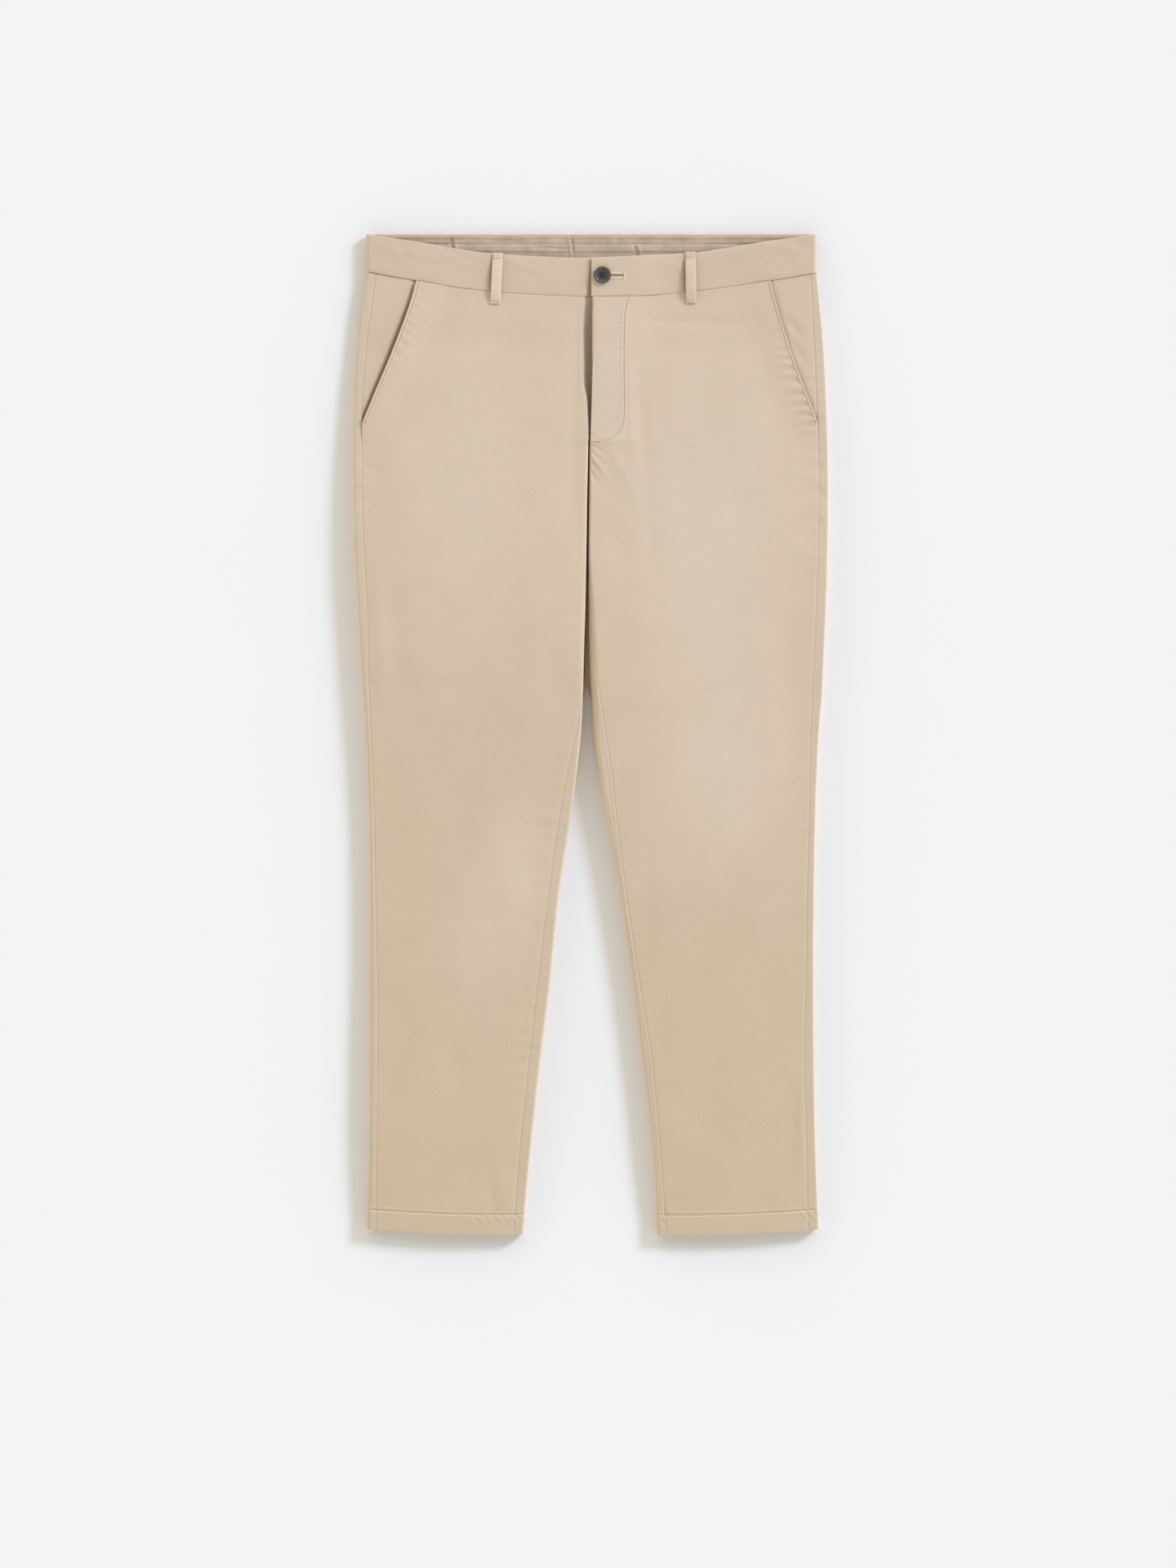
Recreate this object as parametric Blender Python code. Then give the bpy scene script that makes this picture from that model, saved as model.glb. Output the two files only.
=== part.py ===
"""Chino trousers laid out flat on their back, one closed solid for each cut piece.

The tables and sizes are in millimetres and become metres when a mesh is made.
+X is the wearer's left, +Y runs up to the waist and +Z is up. The trousers lie on
z = 0, and x = 0, y = 0 is the middle of their width and length.

Each leg is a flattened tube. The back panel lies underneath and rolls up over both
edges to the side seam and the inside-leg seam; the front panel closes it on top.
"""
from collections import namedtuple
import math

import bpy
import bmesh
import numpy as np

MM = 0.001

# Walls
CLOTH = 1.2
FACING = 1.0
BAND = 2.0
LINING = 1.0
LOOP = 1.6
SEAM_GAP = 0.3

# Levels: each is the middle of its wall above the table
EDGE_RISE = 3.4          # from the back panel to the front panel at a rolled edge
MID_RISE = 4.3           # the same in the middle of a panel
FILL_REACH = 45.0        # how far in from an edge the panel reaches its full rise
SEAT_LIFT = 2.1          # the waist end rides up on the loops that lie underneath
SEAT_LIFT_RUN = (400.0, 462.0)
BAND_BACK_Z = 3.1
LINING_Z = 4.9
BAND_FRONT_Z = 7.2
BAND_UNDERLAP_Z = 6.8
BAND_LAP_Z = 9.1
BAND_UNDERLAP_RUN = (10.0, 60.0)    # how far from the fly each band end comes back to level
BAND_LAP_RUN = (44.0, 86.0)

# Lengths along the garment
BAND_SEAM_Y = 487.0
BACK_TOP_Y = 526.5
FLY_END_Y = 308.0
CROTCH_Y = 154.0
HEM_Y = -520.0
WARP_REACH = 95.0        # the panels take up the dip of the waist over this length
BOW_SHARE = 0.6          # how much of a half wave the bow of a hem follows

# The fly: the wearer's left laps over the right
FLY_UNDERLAP_X = 7.0
FLY_FACING_WIDTH = 36.0
BAND_UNDERLAP_X = 38.0
FLY_LIFT_RUN = (294.0, 303.0)       # over this run the lap comes up from the right front
FLY_LIFT_FADE = 16.0
FLY_CURL_RUN = 5.0
VALLEY_CURL = 0.85       # share of the roll's radius that a front turns down below the fly
FLY_EDGE = ((460.0, 2.5), (400.0, 2.5), (340.0, 1.0), (FLY_END_Y, 0.0))

# The seat seam and the join of the waistband halves, as they happen to lie
CENTRE_BACK = ((BAND_SEAM_Y, -21.0), (CROTCH_Y, -3.0))

# Slant pockets
POCKET_END_Y = 326.0
POCKET_BLEND = 4.0       # half the length over which the pocket edge meets the side seam
FACING_UNDERLAP = 13.0
FACING_SINK = 0.1
POCKET_LIFT = 1.4
POCKET_LIFT_RUN = (296.0, 320.0)
POCKET_LIFT_REACH = 40.0

# Belt loops
LOOP_WIDTH = 11.3
LOOP_ARCH = 2.2
LOOP_BELOW_SEAM = 12.5
LOOP_ABOVE_BAND = 1.0
FRONT_LOOPS = (("right", -97.5, -100.0), ("left", 105.0, 106.0))     # x at top and bottom
BACK_LOOPS = (("right", -138.0), ("centre", CENTRE_BACK[0][1]), ("left", 112.0))

# Tape that lines the back band
LINING_END_X = 226.0
LINING_TOP_GAP = 1.5
LINING_SEAM_GAP = 1.0

# Button
BUTTON_RADIUS = 9.0
BUTTON_THICK = 2.6
BUTTON_RIM = 1.5
BUTTON_DISH = 0.8
BUTTON_HOLE_RADIUS = 1.0
BUTTON_HOLE_PITCH = 3.4
BUTTON_X = 12.6
BUTTON_Y = 482.9

# One row for each station down a leg. outer and inner are the edges of the outline;
# side_seam and leg_seam are how far in from those edges each seam lies on top.
Station = namedtuple("Station", "y outer side_seam inner leg_seam")
RIGHT_LEG = [Station(*row) for row in (
    (487.0, -236.0, 10.5, -1.5, 2.5),
    (412.0, -246.0, 10.5, -1.5, 2.5),
    (326.0, -249.5, 9.5, -1.5, 2.5),
    (258.0, -250.0, 9.5, -3.0, 2.5),
    (172.0, -247.5, 10.5, -4.0, 2.5),
    (129.0, -245.0, 10.5, -5.0, 2.5),
    (86.0, -242.5, 9.0, -6.5, 2.5),
    (43.0, -239.5, 7.0, -7.5, 2.5),
    (0.0, -236.5, 5.5, -10.0, 5.5),
    (-43.0, -234.5, 5.5, -14.5, 11.0),
    (-86.0, -233.0, 5.5, -20.5, 12.5),
    (-172.0, -232.0, 6.0, -33.5, 11.5),
    (-258.0, -232.0, 8.0, -42.0, 13.5),
    (-344.0, -232.5, 8.5, -52.5, 12.5),
    (-430.0, -233.0, 8.5, -62.0, 12.0),
    (-520.0, -235.0, 9.0, -71.0, 10.5),
)]
LEFT_LEG = [Station(*row) for row in (
    (487.0, 238.0, 6.5, -1.0, 2.5),
    (412.0, 245.0, 10.0, -1.0, 2.5),
    (326.0, 249.0, 10.5, -1.0, 2.5),
    (258.0, 250.0, 10.5, -1.0, 2.5),
    (172.0, 249.0, 11.0, -1.0, 2.5),
    (129.0, 247.5, 11.0, -1.0, 2.5),
    (86.0, 245.5, 11.0, -0.5, 4.0),
    (43.0, 243.5, 11.0, 2.0, 7.5),
    (0.0, 240.0, 9.0, 5.0, 10.5),
    (-43.0, 238.0, 8.0, 10.5, 12.0),
    (-86.0, 236.5, 7.0, 18.0, 9.0),
    (-172.0, 235.0, 8.0, 31.5, 6.5),
    (-258.0, 234.5, 8.5, 44.0, 7.0),
    (-344.0, 235.0, 10.5, 55.0, 9.5),
    (-430.0, 236.5, 10.0, 64.5, 8.0),
    (-520.0, 239.5, 11.0, 70.5, 9.0),
)]

# The front waist: its top edge and the seam below the band, from side to side
Waist = namedtuple("Waist", "x top seam")
FRONT_WAIST = [Waist(*row) for row in (
    (-236.0, 526.5, 487.0),
    (-185.0, 518.5, 477.6),
    (-106.0, 506.0, 466.2),
    (-55.0, 502.8, 462.7),
    (0.0, 501.3, 460.6),
    (50.0, 503.6, 461.2),
    (110.0, 507.0, 466.6),
    (185.0, 518.5, 476.6),
    (238.0, 526.5, 485.6),
)]

# Slant of each pocket opening, from the band down to the side seam
Slant = namedtuple("Slant", "y x")
RIGHT_POCKET = [Slant(*row) for row in (
    (487.0, -183.0), (457.0, -190.5), (404.0, -208.0), (362.0, -225.5), (326.0, -240.5))]
LEFT_POCKET = [Slant(*row) for row in (
    (487.0, 188.5), (432.0, 202.0), (389.0, 215.0), (354.0, 228.5), (326.0, 239.0))]

# The largest soft folds of the top layer: a line from (x0, y0) to (x1, y1), the
# half-width of its slope, and its height (below zero: a trough)
Fold = namedtuple("Fold", "x0 y0 x1 y1 half_width height")
FOLDS = [Fold(*row) for row in (
    (50.0, 365.0, 66.0, 180.0, 14.0, -1.2),
    (66.0, 180.0, 68.0, 20.0, 18.0, -0.8),
    (45.0, 440.0, 160.0, 452.0, 16.0, -0.9),
    (180.0, 240.0, 120.0, 150.0, 22.0, 0.6),
    (-195.0, 150.0, -198.0, -20.0, 16.0, -1.0),
    (-160.0, 330.0, -120.0, 120.0, 26.0, 0.5),
    (-95.0, -110.0, -88.0, -190.0, 24.0, 0.7),
    (-150.0, -310.0, -128.0, -385.0, 16.0, -1.1),
    (110.0, -150.0, 190.0, -190.0, 30.0, 0.6),
    (105.0, -370.0, 125.0, -420.0, 22.0, -1.0),
)]
TROUGH_FLOOR = CLOTH + 0.4
RIDGE_CEILING = 5.0

# Rows of each panel's grid, closer together where the cut turns
PANEL_ROWS = (
    486.7, 468.0, 445.0, 418.0, 388.0, 355.0, 326.0, 316.0, FLY_END_Y, 303.0, 296.0, 260.0,
    215.0, 174.0, 165.0, 159.0, CROTCH_Y, 149.0, 143.0, 128.0, 100.0, 65.0, 30.0, -10.0, -50.0,
    -95.0, -172.0, -258.0, -344.0, -430.0, -478.0, HEM_Y)
FACING_ROWS = (486.7, 470.0, 450.0, 425.0, 400.0, 370.0, 345.0, 322.0)
INNER_RUN = 20.0         # the last stretch of the back panel before its inner edge
CROTCH_TURN = 7.0        # half the length over which that edge rolls up at the crotch
LEAST_STEP = 0.4         # smallest spacing of the columns at that edge

# Columns of a front panel: shares of its width, then distances from its inner end
BODY_SHARES = np.array([0.0, 0.07, 0.18, 0.3, 0.42, 0.54, 0.66, 0.78, 0.9])
INNER_TAIL = np.array([12.0, 4.0, 1.6, 0.0])

ROLL = EDGE_RISE / 2.0   # radius of a rolled edge, at the middle of its wall
HALF_TURN = math.pi * ROLL


def smooth(at, knots, values):
    """Cubic curve through the knots, with each slope taken from its neighbours."""
    order = np.argsort(knots)
    knots = np.asarray(knots, float)[order]
    values = np.asarray(values, float)[order]
    slopes = np.gradient(values, knots)
    at = np.asarray(at, float)
    k = np.clip(np.searchsorted(knots, at, side="right") - 1, 0, len(knots) - 2)
    width = knots[k + 1] - knots[k]
    u = np.clip((at - knots[k]) / width, 0.0, 1.0)
    near = (1 + 2 * u) * (1 - u) ** 2 * values[k] + u * (1 - u) ** 2 * width * slopes[k]
    far = u * u * (3 - 2 * u) * values[k + 1] + u * u * (u - 1) * width * slopes[k + 1]
    return near + far


def step(at, low, high):
    """Rises softly from 0 at low to 1 at high."""
    u = np.clip((np.asarray(at, float) - low) / (high - low), 0.0, 1.0)
    return u * u * (3 - 2 * u)


def mix(a, b, share):
    """Goes from a to b as share goes from 0 to 1."""
    return a + (b - a) * share


class Leg:
    """Half of the garment: its outline, its seams and its pocket."""

    def __init__(self, name, side, stations, pocket, hem_bow):
        self.name = name
        self.side = side                    # +1 the wearer's left, -1 the right
        self.stations = stations
        self.pocket = pocket
        self.hem_bow = hem_bow

    def column(self, field, y):
        """One column of the station table, at any y."""
        knots = [row.y for row in self.stations]
        return smooth(y, knots, [getattr(row, field) for row in self.stations])

    def outer(self, y):
        """Outer edge, at the middle of the wall."""
        return self.column("outer", y) - self.side * CLOTH / 2

    def inner(self, y):
        """Inner edge, at the middle of the wall."""
        return self.column("inner", y) + self.side * CLOTH / 2

    def side_seam(self, y):
        """Where the side seam shows on top."""
        return self.column("outer", y) - self.side * self.column("side_seam", y)

    def pocket_edge(self, y):
        """Where the slanted pocket opening runs."""
        return smooth(y, [row.y for row in self.pocket], [row.x for row in self.pocket])

    def leg_seam(self, y):
        """How far the inside-leg seam lies past the top of the inner roll."""
        return self.column("leg_seam", y) - CLOTH / 2 - ROLL


RIGHT = Leg("right", -1.0, RIGHT_LEG, RIGHT_POCKET, 6.0)
LEFT = Leg("left", 1.0, LEFT_LEG, LEFT_POCKET, 6.5)


def seat_lift(y):
    """How far the underside stands off the table."""
    return SEAT_LIFT * step(y, *SEAT_LIFT_RUN)


def folds(x, y):
    """Sum of the soft folds: a bell across each line, fading out at its ends."""
    total = np.zeros_like(x)
    for fold in FOLDS:
        run_x = fold.x1 - fold.x0
        run_y = fold.y1 - fold.y0
        length = math.hypot(run_x, run_y)
        along = ((x - fold.x0) * run_x + (y - fold.y0) * run_y) / length
        across = ((x - fold.x0) * run_y - (y - fold.y0) * run_x) / length
        past = np.maximum(np.maximum(-along, along - length), 0.0)
        total += fold.height * np.exp(-(across ** 2 + past ** 2) / fold.half_width ** 2)
    return total


def top_height(leg, x, y):
    """Height of the upper layer: low at the edges, full in the middle, folded."""
    from_outer = leg.side * (leg.outer(y) - x)
    from_inner = leg.side * (x - leg.inner(y))
    fill = step(np.minimum(from_outer, from_inner), ROLL, FILL_REACH)
    rise = EDGE_RISE + (MID_RISE - EDGE_RISE + folds(x, y)) * fill
    rise = np.clip(rise, TROUGH_FLOOR, RIDGE_CEILING)
    return seat_lift(y) + CLOTH / 2 + rise


def waist_value(field, x):
    """Height of the band's top edge or of the seam below it, at any x."""
    return smooth(x, [row.x for row in FRONT_WAIST], [getattr(row, field) for row in FRONT_WAIST])


def warped_y(leg, x, y, topness):
    """Bends the rows to the bow of the hem and, on the top layer, to the dip of the waist."""
    share = leg.side * (leg.outer(y) - x) / np.abs(leg.outer(y) - leg.inner(y))
    bow = leg.hem_bow * np.sin(BOW_SHARE * math.pi * np.clip(share, 0, 1))
    dip = topness * (BAND_SEAM_Y - waist_value("seam", x))
    hem_share = step(-y, -HEM_Y - WARP_REACH, -HEM_Y)
    waist_share = step(y, BAND_SEAM_Y - WARP_REACH, BAND_SEAM_Y)
    return y - bow * hem_share - dip * waist_share


def roll_point(leg, y, centre_x, turn, outward):
    """A point on a rolled edge, by its turn from the top of the roll."""
    angle = turn / ROLL
    x = centre_x + outward * leg.side * ROLL * np.sin(angle)
    z = seat_lift(y) + CLOTH / 2 + ROLL + ROLL * np.cos(angle)
    return x, z


def back_panel_grid(leg):
    """Side seam, outer roll, underside, inner roll and over to the inside-leg seam."""
    y = np.array(PANEL_ROWS)[:, None]
    outer_centre = leg.outer(y) - leg.side * ROLL
    inner_centre = leg.inner(y) + leg.side * ROLL

    seam = leg.side_seam(y) + leg.side * SEAM_GAP / 2
    lip_x = mix(seam, outer_centre, np.array([0.0, 0.5]))
    lip_z = top_height(leg, lip_x, y)

    outer_turn = np.linspace(0.0, HALF_TURN, 5)[None, :] + 0 * y
    roll_x, roll_z = roll_point(leg, y, outer_centre, outer_turn, 1.0)

    # Above the crotch the panel ends flat at the seat seam; below it, it rolls up.
    rolled = step(-y, -CROTCH_Y - CROTCH_TURN, -CROTCH_Y + CROTCH_TURN)
    centre_back = smooth(y, [row[0] for row in CENTRE_BACK], [row[1] for row in CENTRE_BACK])
    flat_end = centre_back + leg.side * SEAM_GAP / 2
    run_start = mix(flat_end, inner_centre, rolled) + leg.side * INNER_RUN
    under_x = mix(outer_centre, run_start, np.linspace(0.0, 1.0, 5)[1:])
    under_z = seat_lift(y) + CLOTH / 2 + 0 * under_x

    ring_end = INNER_RUN + HALF_TURN + leg.leg_seam(y) - SEAM_GAP / 2
    end = mix(INNER_RUN + 0 * y, ring_end, rolled)
    even = end * np.linspace(0.0, 1.0, 7)[1:]
    knots = INNER_RUN + HALF_TURN * np.array([0.0, 0.25, 0.5, 0.75, 1.0])
    ring = np.concatenate([knots[None, :] + 0 * y, ring_end], axis=1)
    spare = LEAST_STEP * np.arange(5.0, -1.0, -1.0)
    along = np.minimum(mix(even, ring, rolled), end - spare)
    turn = along - INNER_RUN
    curl_x, curl_z = roll_point(leg, y, inner_centre, HALF_TURN - np.clip(turn, 0, HALF_TURN), -1.0)
    flat_x = run_start - leg.side * along
    curl_z = np.where(turn <= 0, seat_lift(y) + CLOTH / 2, curl_z)
    inner_x = np.where(turn <= 0, flat_x, curl_x)
    over = np.maximum(turn - HALF_TURN, 0.0)
    inner_x = inner_x + leg.side * over
    inner_z = np.where(over > 0, top_height(leg, inner_x, y), curl_z)

    x = np.concatenate([lip_x, roll_x, under_x, inner_x], axis=1)
    z = np.concatenate([lip_z, roll_z, under_z, inner_z], axis=1)
    topness = np.zeros_like(x)
    topness[:, :2] = 1.0
    topness[:, 2:7] = (1 + np.cos(outer_turn / ROLL)) / 2
    return x, warped_y(leg, x, y + 0 * x, topness), z


def front_edges(leg, y):
    """Where a front panel starts and ends, and how far it curls in at its inner end."""
    pocket_share = step(y, POCKET_END_Y - POCKET_BLEND, POCKET_END_Y + POCKET_BLEND)
    start = mix(leg.side_seam(y), leg.pocket_edge(y), pocket_share) - leg.side * SEAM_GAP / 2
    inner_centre = leg.inner(y) + leg.side * ROLL
    if leg is LEFT:
        fly_x = smooth(y, [row[0] for row in FLY_EDGE], [row[1] for row in FLY_EDGE])
    else:
        fly_x = FLY_UNDERLAP_X + 0 * y
    curl = step(-y, -FLY_END_Y + 2.0, -FLY_END_Y + 2.0 * FLY_CURL_RUN)
    fly_reach = -leg.side * (fly_x - inner_centre)
    valley_reach = VALLEY_CURL * ROLL + 0 * y
    seam_reach = -leg.leg_seam(y) - SEAM_GAP / 2
    reach = mix(fly_reach, valley_reach, step(-y, -FLY_END_Y, -FLY_END_Y + FLY_CURL_RUN))
    reach = mix(reach, seam_reach, step(-y, -CROTCH_Y - 10.0, -CROTCH_Y - CROTCH_TURN))
    return start, inner_centre, reach, curl


def front_lift(leg, x, y):
    """The front stands on the pocket facing, and its left side on the fly underlap."""
    from_pocket = leg.side * (leg.pocket_edge(np.maximum(y, POCKET_END_Y)) - x)
    over_facing = step(-from_pocket, -POCKET_LIFT_REACH, -FACING_UNDERLAP - 2.0)
    lift = POCKET_LIFT * over_facing * step(y, *POCKET_LIFT_RUN)
    if leg is LEFT:
        lap = step(-x, -FLY_FACING_WIDTH - FLY_LIFT_FADE, -FLY_FACING_WIDTH)
        lift = lift + (CLOTH + SEAM_GAP) * lap * step(y, *FLY_LIFT_RUN)
    return lift


def front_panel_grid(leg):
    """From the pocket edge or side seam across to the fly or inside-leg seam."""
    y = np.array(PANEL_ROWS)[:, None]
    start, inner_centre, reach, curl = front_edges(leg, y)
    width = leg.side * (start - inner_centre) + reach
    body = (width - INNER_TAIL[0]) * BODY_SHARES
    along = np.concatenate([body, width - INNER_TAIL], axis=1)
    past = along - (width - reach)
    x = start - leg.side * along
    z = top_height(leg, x, y + 0 * x)
    curl_x, curl_z = roll_point(leg, y, inner_centre, np.maximum(past, 0.0), -1.0)
    over = past > 0
    x = np.where(over, mix(x, curl_x, curl), x)
    z = np.where(over, mix(z, curl_z, curl), z)
    z = z + front_lift(leg, x, y + 0 * x)
    return x, warped_y(leg, x, y + 0 * x, 1.0), z


def facing_grid(leg):
    """The pocket's shell-cloth facing, from the side seam to under the front."""
    y = np.array(FACING_ROWS)[:, None]
    start = leg.side_seam(y) - leg.side * SEAM_GAP / 2
    end = leg.pocket_edge(y) - leg.side * FACING_UNDERLAP
    x = mix(start, end, np.linspace(0.0, 1.0, 5))
    z = top_height(leg, x, y + 0 * x) - FACING_SINK
    return x, warped_y(leg, x, y + 0 * x, 1.0), z


def band_front_height(leg, x):
    """The right end lies low as the underlap; the left end laps over it."""
    if leg is RIGHT:
        return mix(BAND_UNDERLAP_Z, BAND_FRONT_Z, step(-x, *BAND_UNDERLAP_RUN))
    return mix(BAND_LAP_Z, BAND_FRONT_Z, step(x, *BAND_LAP_RUN))


def waistband_grid(leg):
    """One half of the folded band: fly end, front, side fold, and back to the join."""
    share = np.linspace(0.0, 1.0, 4)[:, None]
    fly_end = 1.0 if leg is LEFT else BAND_UNDERLAP_X
    edge = leg.column("outer", BAND_SEAM_Y) - leg.side * BAND / 2
    roll = (BAND_FRONT_Z - BAND_BACK_Z) / 2
    centre = edge - leg.side * roll
    front_x = mix(fly_end, centre, np.linspace(0.0, 1.0, 15))[:-1]
    angle = np.linspace(0.0, math.pi, 5)
    side_x = centre + leg.side * roll * np.sin(angle)
    join = CENTRE_BACK[0][1] + leg.side * SEAM_GAP / 2
    back_x = mix(centre, join, np.linspace(0.0, 1.0, 6))[1:]
    x = np.concatenate([front_x, side_x, back_x])
    z = np.concatenate([band_front_height(leg, front_x),
                        BAND_BACK_Z + roll + roll * np.cos(angle),
                        np.full(len(back_x), BAND_BACK_Z)])
    dips = np.concatenate([np.ones(len(front_x)), (1 + np.cos(angle)) / 2, np.zeros(len(back_x))])
    top = mix(BACK_TOP_Y, waist_value("top", x), dips)
    seam = mix(BAND_SEAM_Y, waist_value("seam", x), dips)
    y = mix(top[None, :], seam[None, :], share)
    return x[None, :] + 0 * y, y, z[None, :] + 0 * y


def lining_grid(leg):
    """Half of the tape that lines the back band, flat on its inside."""
    join = CENTRE_BACK[0][1] + leg.side * SEAM_GAP / 2
    x = mix(leg.side * LINING_END_X, join, np.linspace(0.0, 1.0, 7))[None, :]
    y = np.linspace(BACK_TOP_Y - LINING_TOP_GAP, BAND_SEAM_Y + LINING_SEAM_GAP, 3)[:, None]
    return x + 0 * y, y + 0 * x, LINING_Z + 0 * (x + y)


def belt_loop_grid(x_top, x_bottom, y_top, y_bottom, z_end, arch):
    """A flat strap that stands off the band in a low arch."""
    share = np.linspace(0.0, 1.0, 9)[:, None]
    across = np.array([-0.5, 0.5])[None, :] * LOOP_WIDTH
    hump = np.minimum(step(share, 0.0, 0.25), step(-share, -1.0, -0.75))
    x = mix(x_top, x_bottom, share) + across
    y = mix(y_top, y_bottom, share) + 0 * x
    z = z_end + arch * hump + 0 * x
    return x, y, z


def cloth_material(name, colour, roughness):
    """A plain material of one linear colour."""
    material = bpy.data.materials.new(name)
    material.use_nodes = True
    shader = material.node_tree.nodes["Principled BSDF"]
    shader.inputs["Base Color"].default_value = (*colour, 1.0)
    shader.inputs["Roughness"].default_value = roughness
    shader.inputs["Metallic"].default_value = 0.0
    return material


def sheet_object(name, grid, wall, material):
    """Makes a grid of points into one cloth piece with a Solidify wall about it."""
    x, y, z = grid
    rows, columns = x.shape
    points = np.stack([x, y, z], axis=-1).reshape(-1, 3) * MM
    corner = (np.arange(rows - 1)[:, None] * columns + np.arange(columns - 1)[None, :]).ravel()
    faces = np.stack([corner, corner + 1, corner + columns + 1, corner + columns], axis=-1)
    mesh = bpy.data.meshes.new(name)
    mesh.from_pydata(points.tolist(), [], faces.tolist())
    mesh.update()
    mesh.materials.append(material)
    obj = bpy.data.objects.new(name, mesh)
    bpy.context.scene.collection.objects.link(obj)
    solidify = obj.modifiers.new("Wall", "SOLIDIFY")
    solidify.thickness = wall * MM
    solidify.offset = 0.0
    solidify.use_rim = True
    return obj


def lathe(name, profile, segments):
    """Turns a closed half-profile of (radius, height) about the Z axis."""
    bm = bmesh.new()
    ring = [bm.verts.new((radius * MM, 0.0, height * MM)) for radius, height in profile]
    edges = [bm.edges.new(pair) for pair in zip(ring, ring[1:])]
    bmesh.ops.spin(bm, geom=ring + edges, cent=(0, 0, 0), axis=(0, 0, 1),
                   angle=2 * math.pi, steps=segments, use_merge=True)
    bmesh.ops.remove_doubles(bm, verts=bm.verts, dist=1e-6)
    bmesh.ops.recalc_face_normals(bm, faces=bm.faces)
    mesh = bpy.data.meshes.new(name)
    bm.to_mesh(mesh)
    bm.free()
    obj = bpy.data.objects.new(name, mesh)
    bpy.context.scene.collection.objects.link(obj)
    return obj


def four_hole_button(material):
    """A dished disc with a raised rim and four sewing holes."""
    half = BUTTON_THICK / 2
    profile = (
        (0.0, -half), (BUTTON_RADIUS - 1.2, -half), (BUTTON_RADIUS, -half + 1.0),
        (BUTTON_RADIUS, half - 0.6), (BUTTON_RADIUS - 0.6, half),
        (BUTTON_RADIUS - BUTTON_RIM, half), (BUTTON_RADIUS - BUTTON_RIM - 1.0, half - BUTTON_DISH),
        (0.0, half - BUTTON_DISH))
    button = lathe("button", profile, 24)
    button.data.materials.append(material)
    button.location = (BUTTON_X * MM, BUTTON_Y * MM,
                       (BAND_LAP_Z + BAND / 2 + SEAM_GAP + half) * MM)
    for index, (across, along) in enumerate(((-1, -1), (1, -1), (1, 1), (-1, 1))):
        bm = bmesh.new()
        bmesh.ops.create_cone(bm, cap_ends=True, segments=8, depth=2 * BUTTON_THICK * MM,
                              radius1=BUTTON_HOLE_RADIUS * MM, radius2=BUTTON_HOLE_RADIUS * MM)
        mesh = bpy.data.meshes.new("hole")
        bm.to_mesh(mesh)
        bm.free()
        drill = bpy.data.objects.new(f"drill_{index}", mesh)
        bpy.context.scene.collection.objects.link(drill)
        drill.parent = button
        drill.location = (across * BUTTON_HOLE_PITCH / 2 * MM, along * BUTTON_HOLE_PITCH / 2 * MM, 0)
        drill.hide_render = True
        drill.display_type = "WIRE"
        cut = button.modifiers.new(f"Hole {index}", "BOOLEAN")
        cut.operation = "DIFFERENCE"
        cut.object = drill
    return button


def build():
    """Makes every piece of the garment in an empty scene."""
    for obj in list(bpy.data.objects):
        bpy.data.objects.remove(obj, do_unlink=True)

    twill = cloth_material("cotton twill", (0.660, 0.545, 0.410), 0.85)
    tape = cloth_material("waistband tape", (0.515, 0.420, 0.335), 0.80)
    resin = cloth_material("button resin", (0.045, 0.045, 0.048), 0.35)

    for leg in (RIGHT, LEFT):
        sheet_object(f"back_{leg.name}", back_panel_grid(leg), CLOTH, twill)
        sheet_object(f"front_{leg.name}", front_panel_grid(leg), CLOTH, twill)
        sheet_object(f"pocket_facing_{leg.name}", facing_grid(leg), FACING, twill)
        sheet_object(f"waistband_{leg.name}", waistband_grid(leg), BAND, twill)
        sheet_object(f"waistband_lining_{leg.name}", lining_grid(leg), LINING, tape)

    front_end_z = BAND_FRONT_Z + BAND / 2 + SEAM_GAP + LOOP / 2
    for name, x_top, x_bottom in FRONT_LOOPS:
        y_top = waist_value("top", x_top) + LOOP_ABOVE_BAND
        y_bottom = waist_value("seam", x_bottom) - LOOP_BELOW_SEAM
        grid = belt_loop_grid(x_top, x_bottom, y_top, y_bottom, front_end_z, LOOP_ARCH)
        sheet_object(f"belt_loop_front_{name}", grid, LOOP, twill)
    for name, x in BACK_LOOPS:
        grid = belt_loop_grid(x, x, BACK_TOP_Y - 0.5, BAND_SEAM_Y - LOOP_BELOW_SEAM, LOOP / 2, 0.0)
        sheet_object(f"belt_loop_back_{name}", grid, LOOP, twill)

    four_hole_button(resin)


build()
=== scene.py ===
"""Chino trousers laid out flat on their back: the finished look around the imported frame.

Every surface is a function of two parameters, worked out in millimetres as whole numpy
arrays and put into a mesh in metres. +X is the wearer's left, +Y runs up to the waist,
+Z is up, and the trousers lie on z = 0.
"""

import logging
import math
from dataclasses import dataclass
from enum import Enum
from typing import NamedTuple, Sequence

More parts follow.
